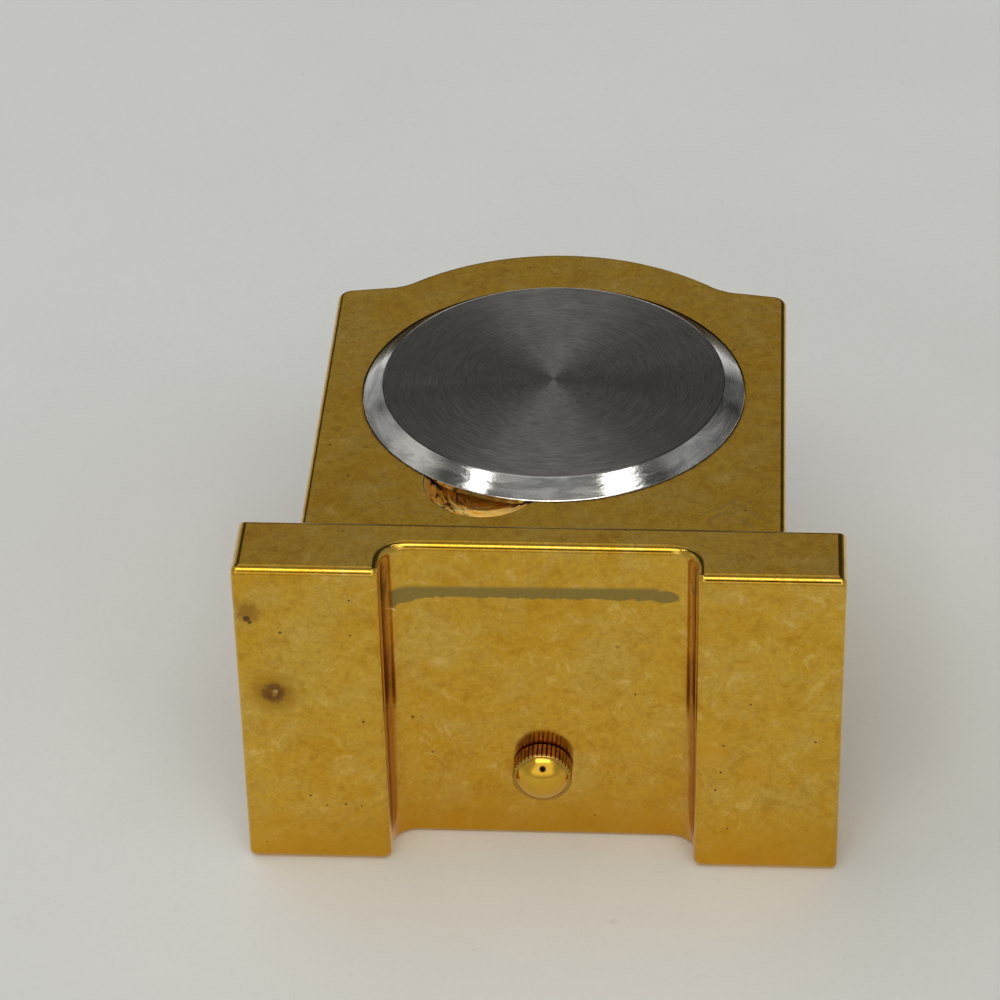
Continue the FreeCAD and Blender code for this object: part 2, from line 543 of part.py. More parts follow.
feature("coil", lying_rod(1.12, 3.6, Y(2.35), coil_mid, coil_dir).cut(lying_rod(0.5, 5.0, Y(2.35), coil_mid, coil_dir)))
feature("coil_core", joined(lying_rod(0.42, 4.0, Y(2.35), coil_mid, coil_dir),
                            lying_rod(1.0, 0.18, Y(2.35), (coil_mid[0] + coil_dir[0] * 3.85, coil_mid[1] + coil_dir[1] * 3.85), coil_dir),
                            lying_rod(1.0, 0.18, Y(2.35), (coil_mid[0] - coil_dir[0] * 3.85, coil_mid[1] - coil_dir[1] * 3.85), coil_dir)))
board_arc = [polar(11.2, a) for a in range(70, 139, 6)] + [polar(7.95, a) for a in range(136, 69, -6)]
slab("circuit_board", [board_arc], Y(3.10), Y(3.45))
slab("chip", [[polar(10.3, 80.0), polar(10.3, 90.0), polar(8.8, 91.5), polar(8.8, 79.5)]], Y(3.47), Y(3.85))
quartz_mid, quartz_dir = polar(9.5, 112.0), polar(1.0, 202.0)
feature("quartz_can", lying_rod(0.72, 2.4, Y(2.30), quartz_mid, quartz_dir))
lathe("battery", [(Y(1.65), 0.0), (Y(1.65), 2.9), (Y(1.90), 2.95), (Y(1.95), 3.35), (Y(2.05), 3.4), (Y(4.15), 3.4), (Y(4.25), 3.3), (Y(4.25), 0.0)],
      x=D["cell_x"], z=D["axis_z"] + D["cell_z"])
slab("battery_clamp", [[(-0.4, 6.2), (-0.1, 7.5), (3.1, 8.9), (4.4, 8.9), (9.4, 4.1), (9.9, 1.9), (9.2, 1.5), (7.6, 3.6), (3.5, 6.9), (1.7, 5.7), (0.3, 5.6)],
                       ("circle", 0.6, 6.6, 0.5)], Y(4.32), Y(4.50))
tb = slab("train_bridge", [[(1.45, 7.35), (-0.5, 7.6), (-7.3, 5.3), (-10.2, 1.95), (-10.0, 0.1), (-8.3, 0.0), (-2.8, -6.2), (-2.75, -10.0),
                            (-1.2, -10.7), (4.6, -8.9), (8.1, -5.9), (7.8, -4.2), (4.6, -2.6), (2.3, 1.2)],
                           ("circle", tx, tz, 0.20), ("circle", 0.0, 0.0, 0.20), ("circle", ix, iz, 0.20), ("circle", rx, rz, 0.20)]
          + [("circle", px, pz, 0.50) for px, pz in pillars], Y(3.90), Y(4.30))


def screws(label, places, head_r, head_front, head_back, shank_r, shank_front, slot=0.18, lift=()):
    made = []
    for i, (px, pz) in enumerate(places):
        rise = lift[i] if lift else 0.0
        head_front, head_back = head_front + rise, head_back + rise
        one = disc(head_r, head_front, head_back, px, pz).fuse(disc(shank_r, shank_front, float(head_front) + 0.02, px, pz))
        cut = Part.makeBox(2 * head_r + 1, 0.16, slot, Vector(px - head_r - 0.5, float(head_back) - 0.16 + 0.01, float(zc) + pz - slot / 2))
        made.append(one.cut(cut).removeSplitter())
        head_front, head_back = head_front - rise, head_back - rise
    return feature(label, Part.makeCompound(made))


screws("bridge_screws", pillars, 0.8, Y(4.32), Y(4.72), 0.40, Y(2.40), lift=(0.20, 0.0, 0.0, 0.0))
screws("centre_bridge_screws", [(-0.94, 5.32), (5.32, -0.94)], 0.55, Y(1.87), Y(2.15), 0.30, Y(0.90), 0.14)
lathe("movement_holder", [
    (Y(-1.48), 12.27), (Y(-1.48), 14.2), (D["block_back"] - 2.45, 14.2), (D["block_back"] - 2.45, 13.0),
    (Y(3.10), 13.0), (Y(3.10), 11.4), (Y(1.12), 11.4), (Y(1.12), 12.27)])
holder_body = nodes[-1]
drill(holder_body, "holder_stem_hole", "XY_Plane", (0.0, 0.0, zc - 15.0), [("circle", 0.0, D["stem_y"], 0.95)], 4.0)

# --------------------------------------------------------- setting mechanism
spindle("stem_tube", [(D["tube_inner"], ch + 0.05), (D["tube_outer"], ch + 0.05), (D["tube_outer"], zc - 14.4), (D["tube_inner"], zc - 14.4)])
root_z = ch - D["crown_gap"]
knurl_z = root_z - D["crown_knurl"]
crown = spindle("crown", [
    (0.0, knurl_z - D["crown_dome"], (2.1 * 2.1 + 1.0) / 2.0, 1), (D["crown_dome_radius"], knurl_z), (D["crown_radius"] - 0.12, knurl_z + 0.02),
    (D["crown_radius"], knurl_z + 0.14), (D["crown_radius"], root_z - 0.10), (D["crown_radius"] - 0.10, root_z), (0.62, root_z),
    (0.62, knurl_z - 0.2), (0.0, knurl_z - 0.2)])
notch = sketch(crown, "flute_sketch", "XY_Plane", (0.0, D["stem_y"], knurl_z - 0.1),
               [[(0.115, 2.50), (-0.115, 2.50), (0.0, 2.23)]])
flute = pocket(crown, "flute", notch, D["crown_knurl"] + 0.3)
fan = crown.newObject("PartDesign::PolarPattern", "flutes")
fan.Originals = [flute]
fan.Axis = (notch, ["N_Axis"])
fan.Angle = 360
fan.Occurrences = int(D["crown_flutes"])
crown.Tip = fan
stem = spindle("stem", [
    (0.0, knurl_z - 0.18), (D["stem_radius"], knurl_z - 0.18), (D["stem_radius"], zc - 14.0), (D["stem_neck"], zc - 13.9),
    (D["stem_neck"], zc - 10.25), (0.28, zc - 10.25), (0.28, zc - 9.69), (D["stem_neck"], zc - 9.69), (D["stem_neck"], zc - 7.62),
    (0.0, zc - 7.62)])
sq = sketch(stem, "square_sketch", "XY_Plane", (0.0, D["stem_y"], zc - 7.9),
            [[(-0.34, -0.34), (0.34, -0.34), (0.34, 0.34), (-0.34, 0.34)]])
pad(stem, "square_end", sq, 2.5)
doc.recompute()


def upright_gear(label, teeth, module, low, high, square):
    pitch_r = teeth * module / 2
    step = 2 * math.pi / teeth
    ring = []
    for i in range(teeth):
        a = i * step
        for r, w in ((pitch_r - 0.11, -0.30), (pitch_r + 0.09, -0.12), (pitch_r + 0.09, 0.12), (pitch_r - 0.11, 0.30)):
            ring.append(Vector(r * math.cos(a + w * step), float(D["stem_y"]) + r * math.sin(a + w * step), float(low)))
    ring.append(ring[0])
    solid = Part.Face(Part.makePolygon(ring)).extrude(Vector(0, 0, float(high) - float(low)))
    hole = Part.makeBox(2 * square, 2 * square, 6, Vector(-square, float(D["stem_y"]) - square, float(low) - 1))
    return feature(label, solid.cut(hole))


upright_gear("setting_pinion", 12, 0.11, zc - 7.45, zc - 6.2, 0.38)
feature("setting_lever", joined(
    Part.Face(Part.makePolygon([Vector(x, float(Y(0.70)), float(zc) + z) for x, z in
                                [(0.25, -9.72), (2.4, -9.40), (3.0, -9.32), (3.55, -9.6), (3.6, -10.3), (3.0, -10.62), (2.4, -10.4), (0.30, -10.22), (0.25, -9.72)]])
              ).extrude(Vector(0, 0.25, 0)).cut(disc(0.36, Y(0), Y(2), 3.0, -9.97)),
    disc(0.17, Y(-0.05), Y(0.80), 0.52, -9.97)))

# ---------------------------------------------------------------- steel back
bb, br = D["block_back"], D["back_radius"]
back = lathe("case_back", [
    (bb - 2.4, D["back_collar"]), (bb - 0.47, D["back_collar"]), (bb - 0.47, br - 0.05), (bb - 0.42, br), (bb - 0.02, br), (bb + 0.03, br - 0.05),
    (bb + D["back_proud"] - 0.06, D["back_flat_radius"] + 0.06), (bb + D["back_proud"], D["back_flat_radius"] - 0.10),
    (bb + D["back_proud"], 0.0), (bb + 0.35, 0.0), (bb + 0.35, D["back_collar"] - 0.55), (bb - 2.4, D["back_collar"] - 0.55)])
lathe("case_back_gasket", [(bb - 0.58, 14.42), (bb - 0.58, 15.2), (bb - 0.49, 15.2), (bb - 0.49, 14.42)])

# -------------------------------------------------------------------- export
doc.recompute()
problems = []
for obj in doc.Objects:
    if "Invalid" in obj.State or "Error" in obj.State:
        problems.append("%s is %s" % (obj.Label, obj.State))
for node in nodes:
    shape = node.Shape
    if shape.isNull() or not shape.isValid() or not shape.Solids:
        problems.append("%s has no valid solid" % node.Label)
if problems:
    raise RuntimeError("; ".join(problems))
for old in os.listdir("parts"):
    if old.endswith(".step"):
        os.remove(os.path.join("parts", old))
for node in nodes:
    node.Shape.exportStep(os.path.join("parts", node.Label + ".step"))
    box = node.Shape.BoundBox
    print("%-22s solids %2d volume %9.3f  y %7.2f..%7.2f z %6.2f..%6.2f" % (
        node.Label, len(node.Shape.Solids), node.Shape.Volume, box.YMin, box.YMax, box.ZMin, box.ZMax))
print(len(nodes), "nodes")
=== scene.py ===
import math

import bmesh
import bpy
from mathutils import Matrix, Quaternion, Vector


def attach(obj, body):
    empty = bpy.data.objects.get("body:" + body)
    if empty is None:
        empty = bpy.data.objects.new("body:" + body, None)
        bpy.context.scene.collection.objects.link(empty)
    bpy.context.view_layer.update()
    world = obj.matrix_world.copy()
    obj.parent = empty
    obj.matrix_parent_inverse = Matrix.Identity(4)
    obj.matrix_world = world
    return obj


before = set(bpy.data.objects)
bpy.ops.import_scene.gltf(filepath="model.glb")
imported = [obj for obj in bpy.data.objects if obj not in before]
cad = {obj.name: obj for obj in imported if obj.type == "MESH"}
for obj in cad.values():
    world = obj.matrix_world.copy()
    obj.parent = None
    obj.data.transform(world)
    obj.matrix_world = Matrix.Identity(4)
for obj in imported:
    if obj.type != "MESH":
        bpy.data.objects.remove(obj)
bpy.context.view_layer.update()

# Looks of the miniature desk clock: gold plate, circular-brushed steel back,
# printed dial and date ring, and the stage it is shown on. Lengths in the code
# are millimetres unless a name says otherwise; MM turns them into metres.

MM = 0.001
scene = bpy.context.scene
AXIS_Z = 26.5


# ------------------------------------------------------------- node helpers
class Graph:
    """Short calls for a shader tree."""

    def __init__(self, tree):
        self.tree = tree
        tree.nodes.clear()

    def node(self, kind, **props):
        n = self.tree.nodes.new(kind)
        for key, value in props.items():
            setattr(n, key, value)
        return n

    def put(self, socket, value):
        if value is None:
            return
        if isinstance(value, bpy.types.NodeSocket):
            self.tree.links.new(value, socket)
        elif socket.type == "RGBA" and len(value) == 3:
            socket.default_value = (*value, 1.0)
        else:
            socket.default_value = value

    def math(self, op, a, b=None, c=None, clamp=False):
        n = self.node("ShaderNodeMath", operation=op, use_clamp=clamp)
        for s, v in zip(n.inputs, (a, b, c)):
            self.put(s, v)
        return n.outputs[0]

    def vec(self, op, a, b=None, scale=None):
        n = self.node("ShaderNodeVectorMath", operation=op)
        self.put(n.inputs[0], a)
        self.put(n.inputs[1], b)
        if scale is not None:
            self.put(n.inputs["Scale"], scale)
        return n.outputs["Value"] if op in ("LENGTH", "DISTANCE", "DOT_PRODUCT") else n.outputs["Vector"]

    def span(self, value, lo, hi, out_lo=0.0, out_hi=1.0, kind="SMOOTHSTEP"):
        n = self.node("ShaderNodeMapRange", interpolation_type=kind)
        for s, v in zip(n.inputs, (value, lo, hi, out_lo, out_hi)):
            self.put(s, v)
        return n.outputs["Result"]

    def noise(self, at, scale, detail=3.0, rough=0.5, warp=0.0):
        n = self.node("ShaderNodeTexNoise")
        self.put(n.inputs["Vector"], at)
        n.inputs["Scale"].default_value = scale
        n.inputs["Detail"].default_value = detail
        n.inputs["Roughness"].default_value = rough
        n.inputs["Distortion"].default_value = warp
        return n.outputs["Fac"]

    def cells(self, at, scale, seed=(0.0, 0.0, 0.0)):
        n = self.node("ShaderNodeTexVoronoi", feature="F1")
        self.put(n.inputs["Vector"], self.vec("ADD", at, seed))
        n.inputs["Scale"].default_value = scale
        return n.outputs["Distance"], n.outputs["Color"]

    def mix(self, fac, a, b, blend="MIX"):
        n = self.node("ShaderNodeMix", data_type="RGBA", blend_type=blend, clamp_factor=True)
        self.put(n.inputs[0], fac)
        self.put(n.inputs[6], a)
        self.put(n.inputs[7], b)
        return n.outputs[2]

    def grey(self, value):
        n = self.node("ShaderNodeCombineColor")
        for s in n.inputs:
            self.put(s, value)
        return n.outputs[0]

    def xyz(self, vector):
        n = self.node("ShaderNodeSeparateXYZ")
        self.put(n.inputs[0], vector)
        return n.outputs

    def join(self, x, y, z):
        n = self.node("ShaderNodeCombineXYZ")
        for s, v in zip(n.inputs, (x, y, z)):
            self.put(s, v)
        return n.outputs[0]

    def place(self):
        """The point on the piece, in millimetres, in the piece's own frame."""
        return self.vec("SCALE", self.node("ShaderNodeTexCoord").outputs["Object"], scale=1000.0)

    def bump(self, height_mm, strength=1.0, normal=None):
        n = self.node("ShaderNodeBump")
        n.inputs["Strength"].default_value = strength
        n.inputs["Distance"].default_value = MM
        self.put(n.inputs["Height"], height_mm)
        self.put(n.inputs["Normal"], normal)
        return n.outputs["Normal"]

    def surface(self, **inputs):
        n = self.node("ShaderNodeBsdfPrincipled")
        for key, value in inputs.items():
            self.put(n.inputs[key.replace("_", " ")], value)
        return n.outputs["BSDF"]

    def output(self, shader):
        self.put(self.node("ShaderNodeOutputMaterial").inputs["Surface"], shader)


def material(name):
    m = bpy.data.materials.new(name)
    m.use_nodes = True
    return m, Graph(m.node_tree)


def spot(g, p, centre, r_in, r_out):
    """1 inside r_in of a point, 0 outside r_out."""
    return g.span(g.vec("DISTANCE", p, centre), r_in, r_out, 1.0, 0.0)


def between(g, value, lo, hi, soft):
    return g.math("MULTIPLY", g.span(value, lo - soft, lo + soft), g.span(value, hi - soft, hi + soft, 1.0, 0.0))


# ---------------------------------------------------------------- materials
GOLD_MAIN = (0.73, 0.432, 0.038)
GOLD_RICH = (0.69, 0.368, 0.011)
GOLD_PALE = (0.71, 0.470, 0.100)
GOLD_DIRT = (0.22, 0.105, 0.022)


def gold(name, seed=0.0, rough=0.13, wear=1.0, extra=None, coat=0.3):
    """Gold plate that has gone patchy: richer and paler areas, grain, flecks of tarnish, hairlines."""
    m, g = material(name)
    p = g.place()
    q = g.vec("ADD", p, (seed, seed * 0.7, -seed))
    broad = g.noise(q, 0.16, 6.0, 0.68, 0.4)
    other = g.noise(g.vec("ADD", q, (31.0, 7.0, 13.0)), 0.21, 6.0, 0.70, 0.3)
    grain = g.noise(q, 1.9, 6.0, 0.78)
    fine = g.noise(q, 5.0, 2.0, 0.7)
    smear = g.noise(g.vec("ADD", q, (3.0, 41.0, 23.0)), 0.62, 7.0, 0.70, 0.5)
    colour = g.mix(g.math("MULTIPLY", g.span(broad, 0.46, 0.66), 0.70 * wear), GOLD_MAIN, GOLD_RICH)
    colour = g.mix(g.math("MULTIPLY", g.span(other, 0.46, 0.66), 0.60 * wear), colour, GOLD_PALE)
    colour = g.mix(g.math("MULTIPLY", g.span(grain, 0.40, 0.66), 0.42 * wear), colour, g.mix(1.0, colour, (0.66, 0.58, 0.40), "MULTIPLY"))
    colour = g.mix(g.math("MULTIPLY", g.span(fine, 0.38, 0.66), 0.22 * wear), colour, g.mix(1.0, colour, (0.66, 0.62, 0.52), "MULTIPLY"))
    colour = g.mix(g.math("MULTIPLY", g.span(smear, 0.50, 0.66), 0.62 * wear), colour, g.mix(1.0, colour, (0.80, 0.70, 0.30), "MULTIPLY"))
    colour = g.mix(g.math("MULTIPLY", g.span(smear, 0.30, 0.46, 1.0, 0.0), 0.55 * wear), colour, (0.86, 0.60, 0.17))
    # flecks of tarnish, gathered in loose clusters
    gather = g.span(g.noise(g.vec("ADD", q, (5.0, 19.0, 3.0)), 0.30, 4.0, 0.6), 0.46, 0.68)
    fleck = g.math("MULTIPLY", g.span(g.noise(g.vec("ADD", q, (11.0, 2.0, 8.0)), 1.25, 5.0, 0.72), 0.615, 0.70), g.math("MULTIPLY_ADD", gather, 0.85, 0.10 * wear))
    # pits: one in each of some cells, of several sizes
    dist, pick = g.cells(q, 0.42)
    chosen = g.xyz(pick)
    size = g.span(chosen[1], 0.0, 1.0, 0.018, 0.060, "LINEAR")
    pit = g.math("MULTIPLY", g.span(dist, g.math("MULTIPLY", size, 0.3), size, 1.0, 0.0), g.span(chosen[0], 0.62 - 0.22 * wear, 0.64 - 0.22 * wear))
    # hairlines: long thin noise, aslant
    x, y, z = g.xyz(q)
    lines = g.noise(g.join(g.math("MULTIPLY_ADD", y, 0.5, g.math("MULTIPLY", x, 8.0)), g.math("MULTIPLY", y, 0.45), g.math("MULTIPLY", z, 2.4)), 1.0, 3.0, 0.6)
    hair = g.span(lines, 0.62, 0.75)
    roughness = g.math("ADD", g.math("MULTIPLY_ADD", g.span(grain, 0.3, 0.8), 0.08 * wear, rough), g.math("MULTIPLY", hair, 0.06))
    height = g.math("ADD", g.math("MULTIPLY", grain, 0.0060 * wear), g.math("MULTIPLY", hair, -0.0008))
    height = g.math("MULTIPLY_ADD", fine, 0.0022 * wear, height)
    height = g.math("MULTIPLY_ADD", pit, -0.02, height)
    if extra:
        colour, roughness, height = extra(g, p, colour, roughness, height)
    tarnish = g.math("MAXIMUM", g.math("MULTIPLY", pit, 0.85), g.math("MULTIPLY", fleck, 0.72 * min(1.0, wear)))
    colour = g.mix(tarnish, colour, GOLD_DIRT)
    roughness = g.math("MULTIPLY_ADD", tarnish, 0.25, roughness, clamp=True)
    g.output(g.surface(Base_Color=colour, Metallic=1.0, Roughness=roughness, Normal=g.bump(height),
                       Coat_Weight=coat, Coat_Roughness=0.08, Coat_IOR=1.5))
    return m


def base_marks(g, p, colour, roughness, height):
    """The marks of age under the base: the edge of a dull band across the channel's ceiling, a ring-shaped stain and a
    spot on one foot; with painted shade along the front, in the channel's corners and round the stem.
    """
    x, y, z = g.xyz(p)
    under = g.span(z, 3.9, 4.1, 1.0, 0.0)
    wobble = g.noise(g.join(g.math("MULTIPLY", x, 1.0), g.math("MULTIPLY", y, 0.35), 0.0), 0.60, 6.0, 0.74)
    low = g.math("MULTIPLY_ADD", wobble, 1.5, 8.72)
    low = g.math("ADD", low, g.math("MULTIPLY", g.span(x, 7.5, 12.0), -0.7))
    high = g.math("MULTIPLY_ADD", g.span(x, -10.5, 11.0, kind="LINEAR"), -0.25, 10.72)
    band = g.math("MULTIPLY", g.span(g.math("SUBTRACT", y, low), -0.06, 0.06), g.span(g.math("SUBTRACT", y, high), -0.28, 0.18, 1.0, 0.0))
    band = g.math("MULTIPLY", band, between(g, x, -9.3, 11.9, 0.25))
    blob = g.vec("LENGTH", g.vec("MULTIPLY", g.vec("SUBTRACT", p, (-9.75, 9.85, 3.6)), (0.72, 1.35, 0.3)))
    band = g.math("MAXIMUM", band, g.span(g.math("MULTIPLY_ADD", wobble, 0.5, blob), 0.95, 1.15, 1.0, 0.0))
    band = g.math("MULTIPLY", band, g.math("MULTIPLY", under, g.span(z, 2.6, 3.0)))
    colour = g.mix(g.math("MULTIPLY", band, 0.92), colour, (0.275, 0.200, 0.045))
    roughness = g.math("MULTIPLY_ADD", band, 0.10, roughness)
    height = g.math("MULTIPLY_ADD", band, 0.006, height)
    # the same edge turns down the wall on the +X side as a thin bright curve
    arc = g.math("ABSOLUTE", g.math("SUBTRACT", g.vec("LENGTH", g.vec("MULTIPLY", g.vec("SUBTRACT", p, (10.3, 6.9, 1.9)), (0.0, 1.0, 1.3))), 2.25))
    arc = g.math("MULTIPLY", g.span(arc, 0.03, 0.11, 1.0, 0.0), g.math("MULTIPLY", between(g, x, 11.4, 12.6, 0.2), g.math("MULTIPLY", g.span(y, 6.8, 7.4), g.span(z, 1.2, 2.2))))
    colour = g.mix(g.math("MULTIPLY", arc, 0.8), colour, (0.95, 0.74, 0.30))
    # stain ring and spots on the +X foot, smudge on the other
    foot = g.span(z, 0.2, 0.4, 1.0, 0.0)
    rough_edge = g.math("MULTIPLY", g.noise(p, 1.1, 6.0, 0.8), 2.4)
    d = g.math("ADD", g.vec("DISTANCE", p, (20.9, 2.41, 0.0)), g.math("SUBTRACT", rough_edge, 1.2))
    halo = g.math("MULTIPLY", g.span(d, 1.0, 2.6, 1.0, 0.0), foot)
    ring = g.math("MULTIPLY", between(g, d, 0.10, 0.95, 0.30), foot)
    core = g.math("MULTIPLY", spot(g, p, (20.75, 2.55, 0.0), 0.05, 0.24), foot)
    burst = g.noise(p, 2.2, 4.0, 0.8)
    colour = g.mix(g.math("MULTIPLY", halo, g.math("MULTIPLY_ADD", burst, 0.9, 0.45)), colour, (0.46, 0.235, 0.012))
    colour = g.mix(g.math("MULTIPLY", ring, g.math("MULTIPLY_ADD", burst, 0.9, 0.50)), colour, (0.190, 0.078, 0.010))
    colour = g.mix(g.math("MULTIPLY", core, 0.55), colour, (0.78, 0.55, 0.28))
    d2 = g.math("ADD", g.vec("DISTANCE", p, (22.6, 10.3, 0.0)), g.math("SUBTRACT", rough_edge, 1.2))
    halo2 = g.math("MULTIPLY", g.span(d2, 0.4, 1.5, 1.0, 0.0), g.span(z, 0.4, 0.8, 1.0, 0.0))
    colour = g.mix(g.math("MULTIPLY", halo2, 0.85), colour, (0.36, 0.165, 0.014))
    dark = g.math("MAXIMUM", spot(g, p, (22.69, 9.68, 0.0), 0.20, 0.34), spot(g, p, (22.45, 9.35, 0.0), 0.10, 0.22))
    for at, r in (((20.13, 8.37, 0.0), 0.17), ((13.95, -0.36, 0.0), 0.16), ((18.48, -8.0, 0.0), 0.14), ((17.21, -8.99, 0.0), 0.11),
                  ((15.68, -8.83, 0.0), 0.14), ((14.42, -8.97, 0.0), 0.12), ((14.61, 11.61, 0.0), 0.12), ((14.65, 8.22, 0.0), 0.12),
                  ((22.3, -12.95, 0.0), 0.13), ((-16.57, 2.21, 0.0), 0.12), ((-14.47, -2.0, 0.0), 0.17), ((-21.71, -1.4, 0.0), 0.14),
                  ((-14.31, -4.69, 0.0), 0.15), ((-13.89, -6.51, 0.0), 0.14), ((-14.89, -10.47, 0.0), 0.13), ((8.9, -6.17, 3.6), 0.12),
                  ((10.4, -2.6, 3.6), 0.14), ((-7.43, 0.16, 3.6), 0.12), ((-4.13, -12.4, 3.6), 0.12)):
        dark = g.math("MAXIMUM", dark, spot(g, p, at, r * 0.45, r))
    colour = g.mix(g.math("MULTIPLY", dark, 0.88), colour, (0.10, 0.050, 0.012))
    roughness = g.math("MULTIPLY_ADD", g.math("MAXIMUM", dark, ring), 0.15, roughness)
    height = g.math("MULTIPLY_ADD", dark, -0.03, height)
    smudge = g.math("MULTIPLY", g.math("MAXIMUM", spot(g, p, (-16.9, -4.4, 0.0), 0.3, 1.5), spot(g, p, (-13.3, -2.8, 0.0), 0.5, 2.6)), foot)
    colour = g.mix(g.math("MULTIPLY", smudge, g.math("MULTIPLY", g.noise(p, 1.1, 5.0, 0.7), 1.1)), colour, (0.72, 0.36, 0.020))
    # painted shade: richer, darker plate towards the front of feet and channel, standing for the table's shade near the
    # contact as the plate reflects it
    front = g.span(g.math("MULTIPLY_ADD", g.noise(p, 0.16, 4.0, 0.6), 5.0, y), -12.0, -5.0, 1.0, 0.0)
    colour = g.mix(g.math("MULTIPLY", g.math("MULTIPLY", front, 0.72), under), colour, (0.62, 0.315, 0.009))
    # painted shade: browner, darker corners between wall and ceiling, and a darker ceiling round the stem above the
    # crown
    corner = g.math("MULTIPLY", between(g, g.math("ABSOLUTE", x), 11.9, 12.35, 0.12), g.math("MULTIPLY", between(g, z, 0.9, 3.7, 0.3), g.span(y, 13.2, 13.6, 1.0, 0.0)))
    wall = g.math("MULTIPLY", g.noise(g.join(g.math("MULTIPLY", x, 0.2), g.math("MULTIPLY", y, 0.35), g.math("MULTIPLY", z, 1.6)), 1.0, 4.0, 0.65), corner)
    smear = g.math("MULTIPLY", corner, between(g, g.math("MULTIPLY_ADD", g.noise(p, 1.6, 4.0, 0.75), 1.6, y), 1.6, 6.2, 0.7))
    colour = g.mix(g.math("MULTIPLY", wall, 0.95), colour, (0.56, 0.245, 0.030))
    colour = g.mix(g.math("MULTIPLY", smear, g.span(g.noise(g.join(x, g.math("MULTIPLY", y, 3.0), g.math("MULTIPLY", z, 0.8)), 1.0, 3.0, 0.7), 0.40, 0.60, 0.35, 0.95)), colour, (0.36, 0.080, 0.024))
    stem = g.span(g.vec("LENGTH", g.vec("MULTIPLY", g.vec("SUBTRACT", p, (0.0, -7.3, 3.6)), (1.0, 1.0, 0.0))), 1.2, 3.0, 1.0, 0.0)
    painted_shade = g.math("MULTIPLY", g.math("MULTIPLY", stem, under), g.math("MULTIPLY_ADD", g.noise(p, 1.2, 4.0, 0.7), 0.7, 0.15))
    colour = g.mix(painted_shade, colour, (0.46, 0.20, 0.025))
    return colour, roughness, height


def block_marks(g, p, colour, roughness, height):
    """The pry notch's cutter marks with a painted glow of light inside, a few crossed scratches low on the back of the
    block, and painted shade next to the steel flange and along the joint with the base.
    """
    x, y, z = g.xyz(p)
    around = g.vec("LENGTH", g.vec("MULTIPLY", g.vec("SUBTRACT", p, (4.95, 13.67, 13.35)), (1.0, 0.0, 1.0)))
    scoop = g.math("MULTIPLY", g.span(around, 4.86, 4.92, 1.0, 0.0), g.math("MULTIPLY", g.span(y, 13.60, 13.66, 1.0, 0.0), g.span(y, 12.0, 12.2)))
    turned = g.noise(g.join(g.math("MULTIPLY", around, 5.0), g.math("MULTIPLY", x, 0.7), 0.0), 1.0, 3.0, 0.6)
    strand = g.span(g.noise(g.join(g.math("MULTIPLY", around, 2.0), g.math("MULTIPLY", x, 1.6), g.math("MULTIPLY", z, 0.5)), 1.0, 4.0, 0.6), 0.50, 0.60)
    # painted light: the inside of the scoop is painted a bright orange glow of light bouncing in it, crossed by dark
    # strands
    inside = g.mix(g.span(turned, 0.38, 0.66), (1.0, 0.46, 0.030), (1.0, 0.80, 0.30))
    inside = g.mix(g.math("MULTIPLY", strand, g.span(x, 4.0, 8.0)), inside, (0.10, 0.045, 0.012))
    colour = g.mix(scoop, colour, inside)
    roughness = g.math("MULTIPLY_ADD", scoop, 0.30, roughness)
    height = g.math("MULTIPLY_ADD", g.math("MULTIPLY", turned, scoop), 0.05, height)
    back = g.span(y, 13.60, 13.66)
    for (ax, az), (bx, bz) in (((-12.2, 9.2), (-15.9, 11.9)), ((-13.9, 8.4), (-16.4, 11.2)), ((-15.2, 9.0), (-16.8, 7.6)),
                               ((-12.6, 8.0), (-14.8, 10.3)), ((-14.6, 11.6), (-17.4, 8.9))):
        length = math.hypot(bx - ax, bz - az)
        ux, uz = (bx - ax) / length, (bz - az) / length
        local = g.vec("SUBTRACT", p, (ax, 0.0, az))
        along = g.vec("DOT_PRODUCT", local, (ux, 0.0, uz))
        off = g.math("ABSOLUTE", g.math("ADD", g.vec("DOT_PRODUCT", local, (-uz, 0.0, ux)), g.math("MULTIPLY", g.math("SUBTRACT", g.noise(p, 0.8, 2.0), 0.5), 0.5)))
        line = g.math("MULTIPLY", g.span(off, 0.03, 0.11, 1.0, 0.0), g.math("MULTIPLY", between(g, along, 0.3, length - 0.3, 0.4), back))
        colour = g.mix(g.math("MULTIPLY", line, 0.45), colour, (0.50, 0.36, 0.16))
        height = g.math("MULTIPLY_ADD", line, -0.004, height)
    # painted shade next to the steel flange, heavier low down, and along the joint with the base
    rim = g.vec("LENGTH", g.vec("MULTIPLY", g.vec("SUBTRACT", p, (0.0, 13.67, AXIS_Z)), (1.0, 0.0, 1.0)))
    painted_shade = g.math("MULTIPLY", g.span(g.math("MULTIPLY_ADD", g.noise(p, 1.3, 4.0, 0.7), 0.5, rim), 15.95, 16.30, 1.0, 0.0), g.span(y, 12.9, 13.0))
    painted_shade = g.math("MULTIPLY", painted_shade, g.span(z, 16.0, 30.0, 0.95, 0.15))
    colour = g.mix(painted_shade, colour, (0.15, 0.055, 0.015))
    sole = g.math("MULTIPLY", g.span(g.math("MULTIPLY_ADD", g.noise(p, 0.8, 4.0, 0.7), 0.5, z), 6.9, 7.5, 1.0, 0.0), g.span(y, 13.0, 13.2))
    colour = g.mix(g.math("MULTIPLY", sole, 0.40), colour, (0.30, 0.22, 0.09))
    return colour, roughness, height


